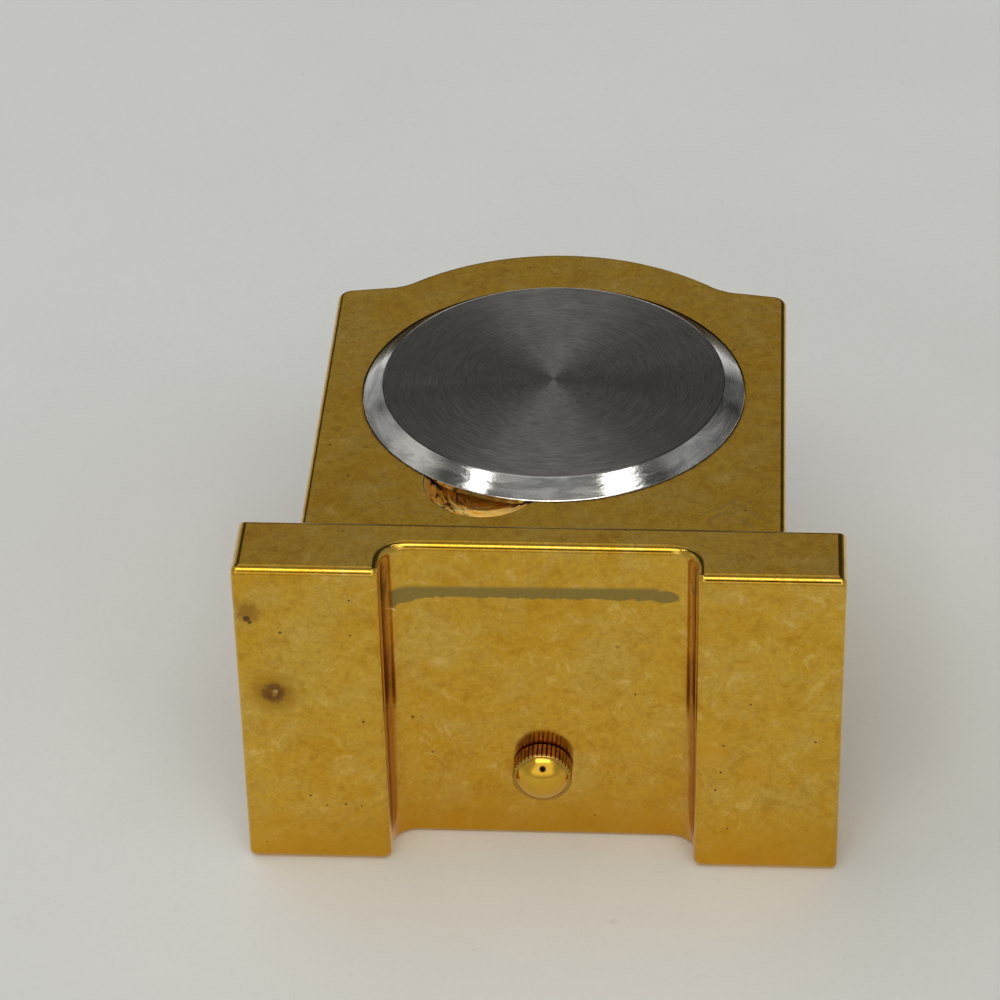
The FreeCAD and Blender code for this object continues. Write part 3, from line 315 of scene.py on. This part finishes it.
def crown_marks(g, p, colour, roughness, height):
    """Red-brown between the flutes of the crown, partly dirt and partly painted shade in the hollows; a painted darker
    ring round the foot of the dome.
    """
    x, y, z = g.xyz(p)
    r = g.vec("LENGTH", g.vec("MULTIPLY", g.vec("SUBTRACT", p, (0.0, -7.3, 0.0)), (1.0, 1.0, 0.0)))
    flank = g.math("MULTIPLY", g.span(z, 1.96, 2.06), g.span(r, 1.95, 2.05))
    crust = g.noise(g.vec("MULTIPLY", p, (1.0, 1.0, 0.45)), 3.2, 5.0, 0.75)
    # painted shade, partly dirt: deep red-brown in the hollows between the flutes
    deep = g.math("MULTIPLY", flank, g.span(g.math("MULTIPLY_ADD", crust, 0.16, r), 2.42, 2.52, 1.0, 0.55))
    colour = g.mix(g.math("MULTIPLY", deep, 0.96), colour, g.mix(g.span(crust, 0.40, 0.62), (0.105, 0.016, 0.010), (0.27, 0.062, 0.034)))
    roughness = g.math("MULTIPLY_ADD", deep, 0.30, roughness)
    height = g.math("MULTIPLY_ADD", g.math("MULTIPLY", deep, crust), 0.05, height)
    # painted shade: a darker gold-brown ring round the foot of the dome, over the table's pale reflection
    ring = g.math("MULTIPLY", g.span(r, 2.00, 2.06), g.span(z, 1.98, 2.08, 1.0, 0.0))
    colour = g.mix(g.math("MULTIPLY", ring, 0.85), colour, (0.42, 0.235, 0.045))
    return colour, roughness, height


def turned_metal(name, tone, dark, centre, axis, rough=0.26, lines=14.0, metallic=1.0, soft=1.0, anis=0.0):
    """Lathe-turned or circular-grained metal about an axis through centre."""
    m, g = material(name)
    p = g.vec("SUBTRACT", g.place(), centre)
    keep = tuple(0.0 if a else 1.0 for a in axis)
    flat = g.vec("MULTIPLY", p, keep)
    r = g.vec("LENGTH", flat)
    ring = g.noise(g.join(g.math("MULTIPLY", r, lines), 0.0, 0.0), 1.0, 4.0, 0.7)
    part = g.vec("SCALE", g.vec("NORMALIZE", flat), scale=1.6)
    px, py, pz = g.xyz(part)
    streak = g.noise(g.join(g.math("MULTIPLY_ADD", r, lines * 1.7, px), g.math("ADD", py, px), pz), 1.0, 5.0, 0.75)
    cloud = g.noise(g.place(), 0.35, 4.0, 0.6)
    shade = g.math("ADD", g.math("MULTIPLY", ring, 0.5), g.math("MULTIPLY", streak, 0.5))
    colour = g.mix(g.math("MULTIPLY", g.span(shade, 0.35, 0.68), 0.8), dark, tone)
    colour = g.mix(g.math("MULTIPLY", g.span(cloud, 0.45, 0.7), 0.25), colour, g.mix(1.0, colour, (0.82, 0.80, 0.76), "MULTIPLY"))
    roughness = g.math("MULTIPLY_ADD", shade, 0.14, rough - 0.04)
    height = g.math("MULTIPLY", shade, 0.004 * soft)
    g.output(g.surface(Base_Color=colour, Metallic=metallic, Roughness=roughness, Normal=g.bump(height), Anisotropic=anis))
    return m


def steel_back():
    """Press-fit back: circular-grained flat, polished bevel and rim."""
    m, g = material("steel_back")
    p = g.vec("SUBTRACT", g.place(), (0.0, 0.0, AXIS_Z))
    x, y, z = g.xyz(p)
    flat = g.vec("MULTIPLY", p, (1.0, 0.0, 1.0))
    r = g.vec("LENGTH", flat)
    unit = g.vec("NORMALIZE", flat)
    ux, uy, uz = g.xyz(unit)
    face = g.math("MULTIPLY", g.span(r, 14.02, 14.10, 1.0, 0.0), g.span(y, 14.80, 14.83))
    # grain lines: short arcs of many lengths round the centre, fine and coarse
    fine = g.noise(g.join(g.math("MULTIPLY", r, 13.0), g.math("MULTIPLY", ux, 7.0), g.math("MULTIPLY", uz, 7.0)), 1.0, 4.0, 0.8)
    broad = g.noise(g.join(g.math("MULTIPLY", r, 3.0), g.math("MULTIPLY", ux, 3.0), g.math("MULTIPLY", uz, 3.0)), 1.0, 4.0, 0.7)
    rings = g.noise(g.join(g.math("MULTIPLY", r, 6.0), 0.0, 0.0), 1.0, 3.0, 0.8)
    uneven = g.noise(g.join(g.math("MULTIPLY", ux, 2.6), g.math("MULTIPLY", uz, 2.6), g.math("MULTIPLY", r, 0.02)), 1.0, 4.0, 0.62)
    cloud = g.noise(p, 0.22, 5.0, 0.65, 0.5)
    speck = g.noise(p, 5.5, 3.0, 0.6)
    # single bright hairline arcs and a few stray scratches
    arcs = g.math("MULTIPLY", g.span(g.noise(g.join(g.math("MULTIPLY", r, 5.0), 40.0, 0.0), 1.0, 2.0, 0.8), 0.66, 0.72),
                  g.span(g.noise(g.join(g.math("MULTIPLY", ux, 1.6), g.math("MULTIPLY", uz, 1.6), g.math("MULTIPLY", r, 0.5)), 1.0, 2.0), 0.50, 0.62))
    stray = g.span(g.noise(g.join(g.math("MULTIPLY_ADD", z, 3.0, g.math("MULTIPLY", x, 7.0)), g.math("MULTIPLY_ADD", x, -0.12, g.math("MULTIPLY", z, 0.28)), 5.0), 1.0, 2.0, 0.6), 0.70, 0.76)
    tone = g.math("ADD", g.math("MULTIPLY", fine, 0.60), g.math("ADD", g.math("MULTIPLY", broad, 0.22), g.math("MULTIPLY", rings, 0.18)))
    grained = g.mix(g.span(tone, 0.36, 0.64), (0.165, 0.162, 0.162), (0.385, 0.379, 0.368))
    grained = g.mix(g.math("MULTIPLY", g.span(cloud, 0.42, 0.70), 0.35), grained, (0.20, 0.18, 0.165))
    grained = g.mix(g.math("MULTIPLY", arcs, 0.35), grained, (0.60, 0.58, 0.55))
    grained = g.mix(g.math("MULTIPLY", stray, 0.20), grained, (0.52, 0.50, 0.47))
    grained = g.mix(g.math("MULTIPLY", g.span(speck, 0.45, 0.75), 0.25), grained, (0.13, 0.125, 0.12))
    height = g.math("ADD", g.math("MULTIPLY", tone, 0.006), g.math("MULTIPLY", speck, 0.0010))
    rough_face = g.math("ADD", g.math("MULTIPLY_ADD", g.span(tone, 0.3, 0.7), 0.08, 0.31), g.math("MULTIPLY", g.span(uneven, 0.38, 0.62), 0.07))
    tangent = g.node("ShaderNodeTangent", direction_type="RADIAL", axis="Y").outputs[0]
    brushed = g.surface(Base_Color=grained, Metallic=1.0, Roughness=rough_face, Anisotropic=0.86, Anisotropic_Rotation=0.25,
                        Tangent=tangent, Normal=g.bump(height))
    smear = g.noise(g.join(g.math("MULTIPLY", ux, 3.2), g.math("MULTIPLY", uz, 3.2), g.math("MULTIPLY", y, 1.3)), 1.0, 5.0, 0.66, 0.6)
    polished_colour = g.mix(g.span(smear, 0.38, 0.60), (0.52, 0.53, 0.52), (0.86, 0.86, 0.84))
    polished_colour = g.mix(g.math("MULTIPLY", g.span(speck, 0.55, 0.75), 0.35), polished_colour, (0.36, 0.35, 0.32))
    # painted shade: patchy dark brown round the root of the rim, next to the block
    rim_root_shade = g.math("MULTIPLY", g.span(y, 13.55, 13.85, 1.0, 0.0), g.span(g.noise(p, 0.9, 4.0, 0.7), 0.35, 0.60))
    polished_colour = g.mix(g.math("MULTIPLY", rim_root_shade, 0.75), polished_colour, (0.16, 0.10, 0.05))
    polished = g.surface(Base_Color=polished_colour, Metallic=1.0, Roughness=g.math("MULTIPLY_ADD", g.span(smear, 0.35, 0.75), 0.08, 0.09),
                         Normal=g.bump(g.math("MULTIPLY_ADD", smear, 0.02, g.math("MULTIPLY", speck, 0.0018))))
    both = g.node("ShaderNodeMixShader")
    g.put(both.inputs[0], face)
    g.put(both.inputs[1], polished)
    g.put(both.inputs[2], brushed)
    g.output(both.outputs[0])
    return m


def plastic(name, tone, rough=0.42, grain=6.0, speck=(0.9, 0.9, 0.88)):
    """Moulded plastic with a faint spark-eroded texture."""
    m, g = material(name)
    p = g.place()
    cloud = g.noise(p, 0.30, 4.0, 0.6)
    fine = g.noise(p, grain, 3.0, 0.6)
    colour = g.mix(g.math("MULTIPLY", g.span(cloud, 0.4, 0.7), 0.5), tone, g.mix(1.0, tone, speck, "MULTIPLY"))
    g.output(g.surface(Base_Color=colour, Roughness=g.math("MULTIPLY_ADD", fine, 0.14, rough - 0.07), Normal=g.bump(g.math("MULTIPLY", fine, 0.006))))
    return m


def dial_enamel():
    """Off-white lacquered dial with a very fine sunray grain."""
    m, g = material("dial_enamel")
    p = g.vec("SUBTRACT", g.place(), (0.0, 0.0, AXIS_Z))
    flat = g.vec("MULTIPLY", p, (1.0, 0.0, 1.0))
    r = g.vec("LENGTH", flat)
    ux, uy, uz = g.xyz(g.vec("NORMALIZE", flat))
    rays = g.noise(g.join(g.math("MULTIPLY", ux, 26.0), g.math("MULTIPLY", uz, 26.0), g.math("MULTIPLY", r, 0.06)), 1.0, 4.0, 0.7)
    cloud = g.noise(p, 0.2, 3.0, 0.5)
    colour = g.mix(g.span(rays, 0.3, 0.7), (0.80, 0.775, 0.70), (0.90, 0.88, 0.815))
    colour = g.mix(g.math("MULTIPLY", g.span(cloud, 0.4, 0.7), 0.25), colour, (0.86, 0.82, 0.72))
    g.output(g.surface(Base_Color=colour, Metallic=0.15, Roughness=g.math("MULTIPLY_ADD", rays, 0.12, 0.26), Normal=g.bump(g.math("MULTIPLY", rays, 0.0025)),
                       Coat_Weight=0.5, Coat_Roughness=0.04))
    return m


def glass():
    """Flat mineral glass: clear, with a reflecting surface and the faintest dust."""
    m, g = material("mineral_glass")
    p = g.place()
    dust = g.span(g.noise(p, 4.0, 3.0, 0.7), 0.60, 0.75, 0.02, 0.06)
    clear = g.node("ShaderNodeBsdfTransparent")
    clear.inputs["Color"].default_value = (0.985, 0.995, 0.99, 1.0)
    gloss = g.surface(Base_Color=(0.9, 0.95, 0.95), Metallic=0.0, Roughness=g.math("MULTIPLY", dust, 1.0), Specular_IOR_Level=0.5,
                      Normal=g.bump(g.math("MULTIPLY", g.noise(p, 0.25, 2.0), 0.0015)))
    shiny = g.node("ShaderNodeBsdfGlossy")
    shiny.inputs["Color"].default_value = (1.0, 1.0, 1.0, 1.0)
    g.put(shiny.inputs["Roughness"], dust)
    fresnel = g.node("ShaderNodeFresnel")
    fresnel.inputs["IOR"].default_value = 1.5
    first = g.node("ShaderNodeMixShader")
    outer = g.math("SUBTRACT", 1.0, g.node("ShaderNodeNewGeometry").outputs["Backfacing"])
    g.put(first.inputs[0], g.math("MULTIPLY", fresnel.outputs[0], outer))
    g.put(first.inputs[1], clear.outputs[0])
    g.put(first.inputs[2], shiny.outputs[0])
    second = g.node("ShaderNodeMixShader")
    g.put(second.inputs[0], g.math("MULTIPLY", dust, 0.35))
    g.put(second.inputs[1], first.outputs[0])
    g.put(second.inputs[2], gloss)
    g.output(second.outputs[0])
    return m


def ink(name, tone):
    """Printed ink with slightly uneven cover."""
    m, g = material(name)
    p = g.place()
    cover = g.noise(p, 3.5, 4.0, 0.7)
    colour = g.mix(g.span(cover, 0.35, 0.75), tone, tuple(min(1.0, c * 1.5 + 0.02) for c in tone))
    g.output(g.surface(Base_Color=colour, Roughness=g.math("MULTIPLY_ADD", cover, 0.2, 0.3), Normal=g.bump(g.math("MULTIPLY", cover, 0.003))))
    return m


def board_green():
    m, g = material("circuit_board")
    p = g.place()
    weave = g.noise(g.vec("MULTIPLY", p, (5.0, 5.0, 1.0)), 1.0, 3.0, 0.6)
    trace = g.node("ShaderNodeTexVoronoi", feature="DISTANCE_TO_EDGE")
    g.put(trace.inputs["Vector"], g.vec("MULTIPLY", p, (1.0, 0.0, 1.0)))
    trace.inputs["Scale"].default_value = 0.8
    line = g.span(trace.outputs["Distance"], 0.05, 0.08, 1.0, 0.0)
    colour = g.mix(g.span(weave, 0.3, 0.7), (0.020, 0.105, 0.045), (0.035, 0.150, 0.065))
    colour = g.mix(g.math("MULTIPLY", line, 0.5), colour, (0.10, 0.26, 0.11))
    g.output(g.surface(Base_Color=colour, Roughness=g.math("MULTIPLY_ADD", weave, 0.15, 0.28), Normal=g.bump(g.math("MULTIPLY_ADD", line, 0.012, g.math("MULTIPLY", weave, 0.004)))))
    return m


def winding():
    """Enamelled copper wire laid turn by turn."""
    m, g = material("copper_winding")
    p = g.place()
    wave = g.node("ShaderNodeTexWave", wave_type="BANDS", bands_direction="X", wave_profile="SIN")
    g.put(wave.inputs["Vector"], p)
    wave.inputs["Scale"].default_value = 2.6
    wave.inputs["Distortion"].default_value = 0.6
    wave.inputs["Detail"].default_value = 2.0
    turns = wave.outputs["Fac"]
    # painted shade and highlight: dark in the grooves between turns, bright copper on their crests
    colour = g.mix(turns, (0.30, 0.075, 0.020), (0.78, 0.30, 0.10))
    g.output(g.surface(Base_Color=colour, Metallic=0.7, Roughness=g.math("MULTIPLY_ADD", g.noise(p, 3.0), 0.12, 0.24), Normal=g.bump(g.math("MULTIPLY", turns, 0.03))))
    return m


def epoxy():
    m, g = material("epoxy_black")
    p = g.place()
    n = g.noise(p, 1.4, 4.0, 0.6)
    g.output(g.surface(Base_Color=g.mix(g.span(n, 0.4, 0.7), (0.012, 0.012, 0.013), (0.03, 0.03, 0.032)),
                       Roughness=g.math("MULTIPLY_ADD", n, 0.25, 0.16), Normal=g.bump(g.math("MULTIPLY", n, 0.05))))
    return m


def dress(names, made):
    for n in names.split():
        data = cad[n].data
        data.materials.clear()
        data.materials.append(made)


dress("base", gold("gold_base", 0.0, 0.12, 1.0, base_marks))
dress("case_block", gold("gold_block", 17.0, 0.15, 1.0, block_marks, coat=0.12))
dress("crown", gold("gold_crown", 5.0, 0.05, 0.30, crown_marks, coat=0.15))
dress("bezel", gold("gold_bezel", 41.0, 0.09, 0.35, coat=0.5))
dress("date_window_frame hour_markers hour_hand minute_hand second_hand", gold("gold_trim", 9.0, 0.10, 0.15, coat=0.4))
dress("case_back", steel_back())
axis = (0.0, 0.0, AXIS_Z)
dress("main_plate", turned_metal("plate_metal", (0.74, 0.66, 0.44), (0.56, 0.49, 0.30), axis, (0, 1, 0), 0.30, 5.0))
dress("train_bridge centre_bridge", turned_metal("bridge_metal", (0.80, 0.76, 0.66), (0.62, 0.58, 0.48), axis, (0, 1, 0), 0.24, 3.5))
dress("cannon_pinion hour_wheel minute_wheel seconds_wheel third_wheel centre_wheel intermediate_wheel rotor",
      turned_metal("wheel_brass", (0.80, 0.62, 0.28), (0.62, 0.44, 0.16), axis, (0, 1, 0), 0.22, 9.0))
dress("battery", turned_metal("cell_nickel", (0.72, 0.72, 0.71), (0.52, 0.52, 0.51), (5.98, 0.0, 31.51), (0, 1, 0), 0.24, 8.0))
dress("quartz_can stator coil_core", turned_metal("nickel_plate", (0.66, 0.65, 0.62), (0.48, 0.47, 0.44), axis, (0, 1, 0), 0.28, 2.2))
dress("battery_clamp date_jumper setting_lever", turned_metal("spring_steel", (0.60, 0.60, 0.60), (0.42, 0.42, 0.42), (5.98, 0.0, 31.51), (0, 1, 0), 0.24, 4.0))
dress("bridge_screws centre_bridge_screws jumper_screw", turned_metal("screw_steel", (0.58, 0.60, 0.64), (0.40, 0.42, 0.46), axis, (0, 1, 0), 0.18, 6.0))
dress("locating_pins stem stem_tube setting_pinion", turned_metal("turned_steel", (0.58, 0.58, 0.57), (0.42, 0.42, 0.41), (0.0, -7.3, 0.0), (0, 0, 1), 0.22, 8.0))
dress("movement_holder", plastic("holder_plastic", (0.78, 0.77, 0.73)))
dress("date_wheel", plastic("date_wheel_plastic", (0.70, 0.70, 0.66)))
dress("date_ring", plastic("date_ring_white", (0.86, 0.86, 0.83), 0.38, 9.0))
dress("case_back_gasket crystal_gasket", plastic("nylon", (0.74, 0.72, 0.65), 0.36, 3.0))
dress("dial", dial_enamel())
dress("crystal", glass())
dress("circuit_board", board_green())
dress("coil", winding())
dress("chip", epoxy())


# ------------------------------------------------------ printing on the dial
def as_mesh(name, parts, made):
    """One mesh from several temporary meshes."""
    bm = bmesh.new()
    for data in parts:
        bm.from_mesh(data)
        bpy.data.meshes.remove(data)
    bmesh.ops.remove_doubles(bm, verts=bm.verts, dist=1e-8)
    bmesh.ops.recalc_face_normals(bm, faces=bm.faces)
    data = bpy.data.meshes.new(name)
    bm.to_mesh(data)
    bm.free()
    data.materials.append(made)
    o = bpy.data.objects.new(name, data)
    scene.collection.objects.link(o)
    return o


def lettering(text, height, thick, matrix, wide=1.0):
    """A word as a thin solid, centred, standing on the XZ plane and facing -Y."""
    curve = bpy.data.curves.new("word", "FONT")
    curve.body = text
    curve.align_x = "CENTER"
    curve.align_y = "CENTER"
    curve.size = height * MM * 1.38
    curve.extrude = thick * MM / 2
    curve.resolution_u = 6
    o = bpy.data.objects.new("word", curve)
    scene.collection.objects.link(o)
    bpy.context.view_layer.update()
    data = bpy.data.meshes.new_from_object(o.evaluated_get(bpy.context.evaluated_depsgraph_get()))
    bpy.data.objects.remove(o)
    bpy.data.curves.remove(curve)
    xs = [v.co.x for v in data.vertices]
    ys = [v.co.y for v in data.vertices]
    centre = Vector(((min(xs) + max(xs)) / 2, (min(ys) + max(ys)) / 2, 0.0))
    stand = Matrix.Rotation(math.radians(90), 4, "X")
    data.transform(matrix @ stand @ Matrix.Diagonal((wide, 1.0, 1.0, 1.0)) @ Matrix.Translation(-centre))
    return data


def plate(corners, y0, y1):
    """A thin flat solid between two depths, from corners (x, z) in millimetres."""
    bm = bmesh.new()
    front = [bm.verts.new((x * MM, y0 * MM, z * MM)) for x, z in corners]
    back = [bm.verts.new((x * MM, y1 * MM, z * MM)) for x, z in corners]
    bm.faces.new(front)
    bm.faces.new(list(reversed(back)))
    n = len(corners)
    for i in range(n):
        bm.faces.new((front[i], back[i], back[(i + 1) % n], front[(i + 1) % n]))
    data = bpy.data.meshes.new("plate")
    bm.to_mesh(data)
    bm.free()
    return data


def clock_point(r, degrees):
    a = math.radians(degrees)
    return r * math.sin(a), AXIS_Z + r * math.cos(a)


black = ink("dial_ink", (0.012, 0.012, 0.014))
DIAL_Y = -9.20
ticks = []
for k in range(60):
    w, r0 = (0.075, 12.46) if k % 5 == 0 else (0.035, 12.52)
    a = math.radians(6 * k)
    ux, uz, tx, tz = math.sin(a), math.cos(a), math.cos(a), -math.sin(a)
    ticks.append(plate([(ux * r + tx * s, AXIS_Z + uz * r + tz * s) for r, s in ((r0, -w), (r0, w), (12.74, w), (12.74, -w))],
                       DIAL_Y - 0.012, DIAL_Y - 0.001))
track = as_mesh("minute_track", ticks, black)
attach(track, "clock")

words = []
for hour in (12, 1, 2, 4, 5, 6, 7, 8, 9, 10, 11):
    x, z = clock_point(8.95, 30 * hour)
    words.append(lettering(str(hour), 1.85, 0.012, Matrix.Translation((x * MM, (DIAL_Y - 0.007) * MM, z * MM))))
numerals = as_mesh("dial_numerals", words, black)
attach(numerals, "clock")

RING_Y = -8.70
days = []
step = 360.0 / 31
TODAY = 17
for day in range(1, 32):
    # the ring turns anticlockwise as the dial is read, so the next day waits clockwise of this one
    turn = step * (day - TODAY)
    place = (Matrix.Translation((0, 0, AXIS_Z * MM)) @ Matrix.Rotation(math.radians(turn), 4, "Y")
             @ Matrix.Translation((9.6 * MM, (RING_Y - 0.007) * MM, 0)))
    days.append(lettering(str(day), 1.25, 0.012, place, 0.92))
date_print = as_mesh("date_numbers", days, black)
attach(date_print, "date_ring")


# -------------------------------------------------------------------- camera
cam_data = bpy.data.cameras.new("camera")
cam = bpy.data.objects.new("camera", cam_data)
scene.collection.objects.link(cam)
scene.camera = cam
cam_data.sensor_fit = "HORIZONTAL"
cam_data.sensor_width = 36.0
cam_data.lens = 143.911
cam_data.clip_start, cam_data.clip_end = 0.01, 20.0
right = Vector((-0.99805927, -0.01959560, 0.05910759))
down = Vector((-0.01831545, -0.81483561, -0.57940268))
ahead = Vector((0.05951671, -0.57936080, 0.81289533))
rot = Matrix((right, -down, -ahead)).transposed()
cam.matrix_world = Matrix.Translation(Vector((-15.30806, 196.77023, -246.01697)) * MM) @ rot.to_4x4()


# --------------------------------------------------------------------- stage
# The clock lies on its face, as photographed, on one pale table top, and stands
# on another in the views from the front. Each top shows from its own side only.
def one_sided(g, shader, alpha=None):
    """Shows the shader on the front side only, and where alpha allows."""
    empty = g.node("ShaderNodeBsdfTransparent")
    facing = g.math("SUBTRACT", 1.0, g.node("ShaderNodeNewGeometry").outputs["Backfacing"])
    if alpha is not None:
        facing = g.math("MULTIPLY", facing, alpha)
    both = g.node("ShaderNodeMixShader")
    g.put(both.inputs[0], facing)
    g.put(both.inputs[1], empty.outputs[0])
    g.put(both.inputs[2], shader)
    return both.outputs[0]


TILT = math.radians(2.65)


def on_table(x, z):
    """The point of the lying clock's table at x, z."""
    return Vector((x, -14.52 + (z - 6.20) * math.tan(TILT), z))


def table_top():
    m, g = material("table_top")
    p = g.place()
    x, y, z = g.xyz(p)
    cloud = g.noise(p, 0.03, 4.0, 0.55)
    fine = g.noise(p, 2.2, 4.0, 0.65)
    colour = g.mix(g.span(cloud, 0.30, 0.72), (0.800, 0.818, 0.820), (0.830, 0.850, 0.858))
    colour = g.mix(g.math("MULTIPLY", g.span(fine, 0.45, 0.8), 0.18), colour, (0.68, 0.675, 0.655))
    dust = g.span(g.noise(g.vec("ADD", p, (3.0, 0.0, 9.0)), 0.55, 6.0, 0.75), 0.66, 0.74)
    colour = g.mix(g.math("MULTIPLY", dust, 0.28), colour, (0.40, 0.385, 0.35))
    alpha = g.math("MULTIPLY", between(g, x, -64.0, 78.0, 6.0), between(g, z, -78.0, 142.0, 6.0))
    shader = g.surface(Base_Color=colour, Roughness=0.62, Specular_IOR_Level=0.25, Normal=g.bump(g.math("MULTIPLY", fine, 0.01)))
    g.output(one_sided(g, shader, alpha))
    return m


# the hole lies where the clock hides the table, so that the dial side still sees the room
outline = [(-11.6, 4.6), (-12.7, 4.6), (-12.7, 1.5), (-13.8, 0.75), (-22.6, 0.75), (-22.9, 1.4), (-21.6, 5.4), (-15.8, 6.4), (-15.8, 39.6), (-15.0, 41.2)]
arch = []
for k in range(9):
    a = math.radians(-39 + 78 * k / 8)
    arch.append((19.2 * math.sin(a), 26.7 + 19.2 * math.cos(a)))
outline += arch + [(-x, z) for x, z in reversed(outline)]
bm = bmesh.new()
outer = [bm.verts.new(on_table(x, z) * MM) for x, z in ((-74, -86), (88, -86), (88, 150), (-74, 150))]
inner = [bm.verts.new(on_table(x, z) * MM) for x, z in outline]
edges = [bm.edges.new((loop[i], loop[(i + 1) % len(loop)])) for loop in (outer, inner) for i in range(len(loop))]
bmesh.ops.triangle_fill(bm, use_beauty=True, use_dissolve=False, edges=edges)
for f in bm.faces:
    f.normal_update()
    if f.normal.y < 0:
        f.normal_flip()
data = bpy.data.meshes.new("table_lying")
bm.to_mesh(data)
bm.free()
data.materials.append(table_top())
table_lying = bpy.data.objects.new("table_lying", data)
scene.collection.objects.link(table_lying)
table_lying.visible_shadow = False


def floor_top():
    m, g = material("floor_top")
    p = g.place()
    x, y, z = g.xyz(p)
    cloud = g.noise(p, 0.02, 3.0, 0.5)
    far = g.vec("LENGTH", g.vec("MULTIPLY", p, (1.0, 1.0, 0.0)))
    colour = g.mix(g.span(cloud, 0.35, 0.68), (0.74, 0.74, 0.725), (0.79, 0.795, 0.785))
    shader = g.surface(Base_Color=colour, Roughness=0.6, Specular_IOR_Level=0.2, Emission_Color=(1.0, 0.99, 0.97), Emission_Strength=0.10)
    g.output(one_sided(g, shader, g.span(far, 180.0, 420.0, 1.0, 0.0)))
    return m


bm = bmesh.new()
bmesh.ops.create_grid(bm, x_segments=2, y_segments=2, size=0.45)
data = bpy.data.meshes.new("floor_standing")
bm.to_mesh(data)
bm.free()
data.materials.append(floor_top())
floor_standing = bpy.data.objects.new("floor_standing", data)
floor_standing.location = (0, 0, -0.05 * MM)
scene.collection.objects.link(floor_standing)
floor_standing.visible_glossy = False
floor_standing.visible_diffuse = False
floor_standing.visible_transmission = False
floor_standing.visible_shadow = False


# -------------------------------------------------------------------- lights
def soft_box(name, direction, distance, width, height, radiance, tone=(1.0, 1.0, 1.0), aim=(0.0, 0.0, 0.02), roll=0.0):
    data = bpy.data.lights.new(name, "AREA")
    data.shape = "RECTANGLE"
    data.size, data.size_y = width, height
    data.energy = math.pi * width * height * radiance
    data.color = tone
    o = bpy.data.objects.new(name, data)
    scene.collection.objects.link(o)
    d = Vector(direction).normalized()
    o.location = Vector(aim) + d * distance
    o.rotation_mode = "QUATERNION"
    o.rotation_quaternion = d.to_track_quat("Z", "Y") @ Quaternion((0.0, 0.0, 1.0), math.radians(roll))
    o.visible_camera = False
    return o


soft_box("window_left", (0.418, 0.885, -0.113), 0.6, 0.052, 0.15, 4.0, (1.0, 0.985, 0.96))
soft_box("window_right", (-0.379, 0.916, -0.133), 0.6, 0.056, 0.14, 3.7, (1.0, 0.985, 0.96), roll=-32.0)
soft_box("window_behind", (-0.02, 0.830, -0.558), 0.7, 0.62, 0.22, 2.0, (1.0, 0.97, 0.90))
soft_box("front_high", (-0.45, -0.66, 0.62), 0.6, 0.34, 0.30, 3.2, (1.0, 0.99, 0.97))
soft_box("front_side", (0.80, -0.50, 0.34), 0.6, 0.22, 0.34, 1.8, (0.97, 0.99, 1.0))
fill = soft_box("table_fill", (0.42, 0.84, 0.34), 0.7, 0.55, 0.55, 0.90, (0.97, 1.0, 1.03))
fill.visible_glossy = False

world = bpy.data.worlds.new("studio")
scene.world = world
world.use_nodes = True
g = Graph(world.node_tree)
d = g.vec("NORMALIZE", g.node("ShaderNodeTexCoord").outputs["Generated"])
dx, dy, dz = g.xyz(d)


def cone(direction, inner, outer):
    v = Vector(direction).normalized()
    return g.span(g.vec("DOT_PRODUCT", d, tuple(v)), math.cos(math.radians(outer)), math.cos(math.radians(inner)))


room = g.mix(g.span(dz, -0.7, 0.4), (0.215, 0.205, 0.180), (0.040, 0.039, 0.037))
sides = g.span(g.math("ABSOLUTE", dx), 0.60, 0.78)
room = g.mix(sides, room, (0.380, 0.376, 0.366))
strip = g.math("MULTIPLY", g.span(g.math("ABSOLUTE", g.math("SUBTRACT", dx, 0.04)), 0.10, 0.34, 1.0, 0.0), between(g, dz, 0.10, 0.66, 0.14))
room = g.mix(strip, room, (0.56, 0.553, 0.535))
room = g.mix(cone((0.06, 0.56, 0.83), 6, 12), room, (0.330, 0.326, 0.298))
room = g.mix(cone((0.56, 0.22, 0.80), 4, 12), room, (0.36, 0.357, 0.349))
room = g.mix(cone((-0.52, 0.26, 0.81), 3, 8), room, (0.130, 0.129, 0.126))
below = g.math("MULTIPLY", g.span(g.math("ABSOLUTE", dx), 0.45, 0.80, 1.0, 0.0), g.span(dz, -0.42, -0.16, 1.0, 0.0))
room = g.mix(below, room, (1.05, 1.010, 0.900))
room = g.mix(cone((0.05, 0.97, -0.22), 6, 20), room, (0.300, 0.297, 0.286))
room = g.mix(cone((0.78, 0.60, 0.12), 6, 18), room, (0.55, 0.54, 0.51))
room = g.mix(cone((-0.72, 0.66, 0.20), 4, 16), room, (0.30, 0.30, 0.29))
room = g.mix(cone((0.70, 0.55, -0.45), 10, 30), room, (0.42, 0.41, 0.39))
room = g.mix(cone((-0.02, 0.44, -0.90), 8, 14), room, (0.012, 0.010, 0.010))
low = g.mix(g.span(dz, -0.8, 0.8), (0.485, 0.466, 0.432), (0.70, 0.70, 0.69))
sky = g.mix(g.span(dy, -0.06, 0.19), low, room)
seen = g.mix(g.span(dz, -0.3, 0.5), (0.60, 0.60, 0.59), (0.70, 0.70, 0.70))
light = g.node("ShaderNodeBackground")
g.put(light.inputs["Color"], sky)
backdrop = g.node("ShaderNodeBackground")
g.put(backdrop.inputs["Color"], seen)
pick = g.node("ShaderNodeMixShader")
g.put(pick.inputs[0], g.node("ShaderNodeLightPath").outputs["Is Camera Ray"])
g.put(pick.inputs[1], light.outputs[0])
g.put(pick.inputs[2], backdrop.outputs[0])
g.put(g.node("ShaderNodeOutputWorld").inputs["Surface"], pick.outputs[0])

scene.view_settings.view_transform = "Standard"
scene.view_settings.look = "None"
scene.view_settings.exposure = 0.0
scene.view_settings.gamma = 1.0
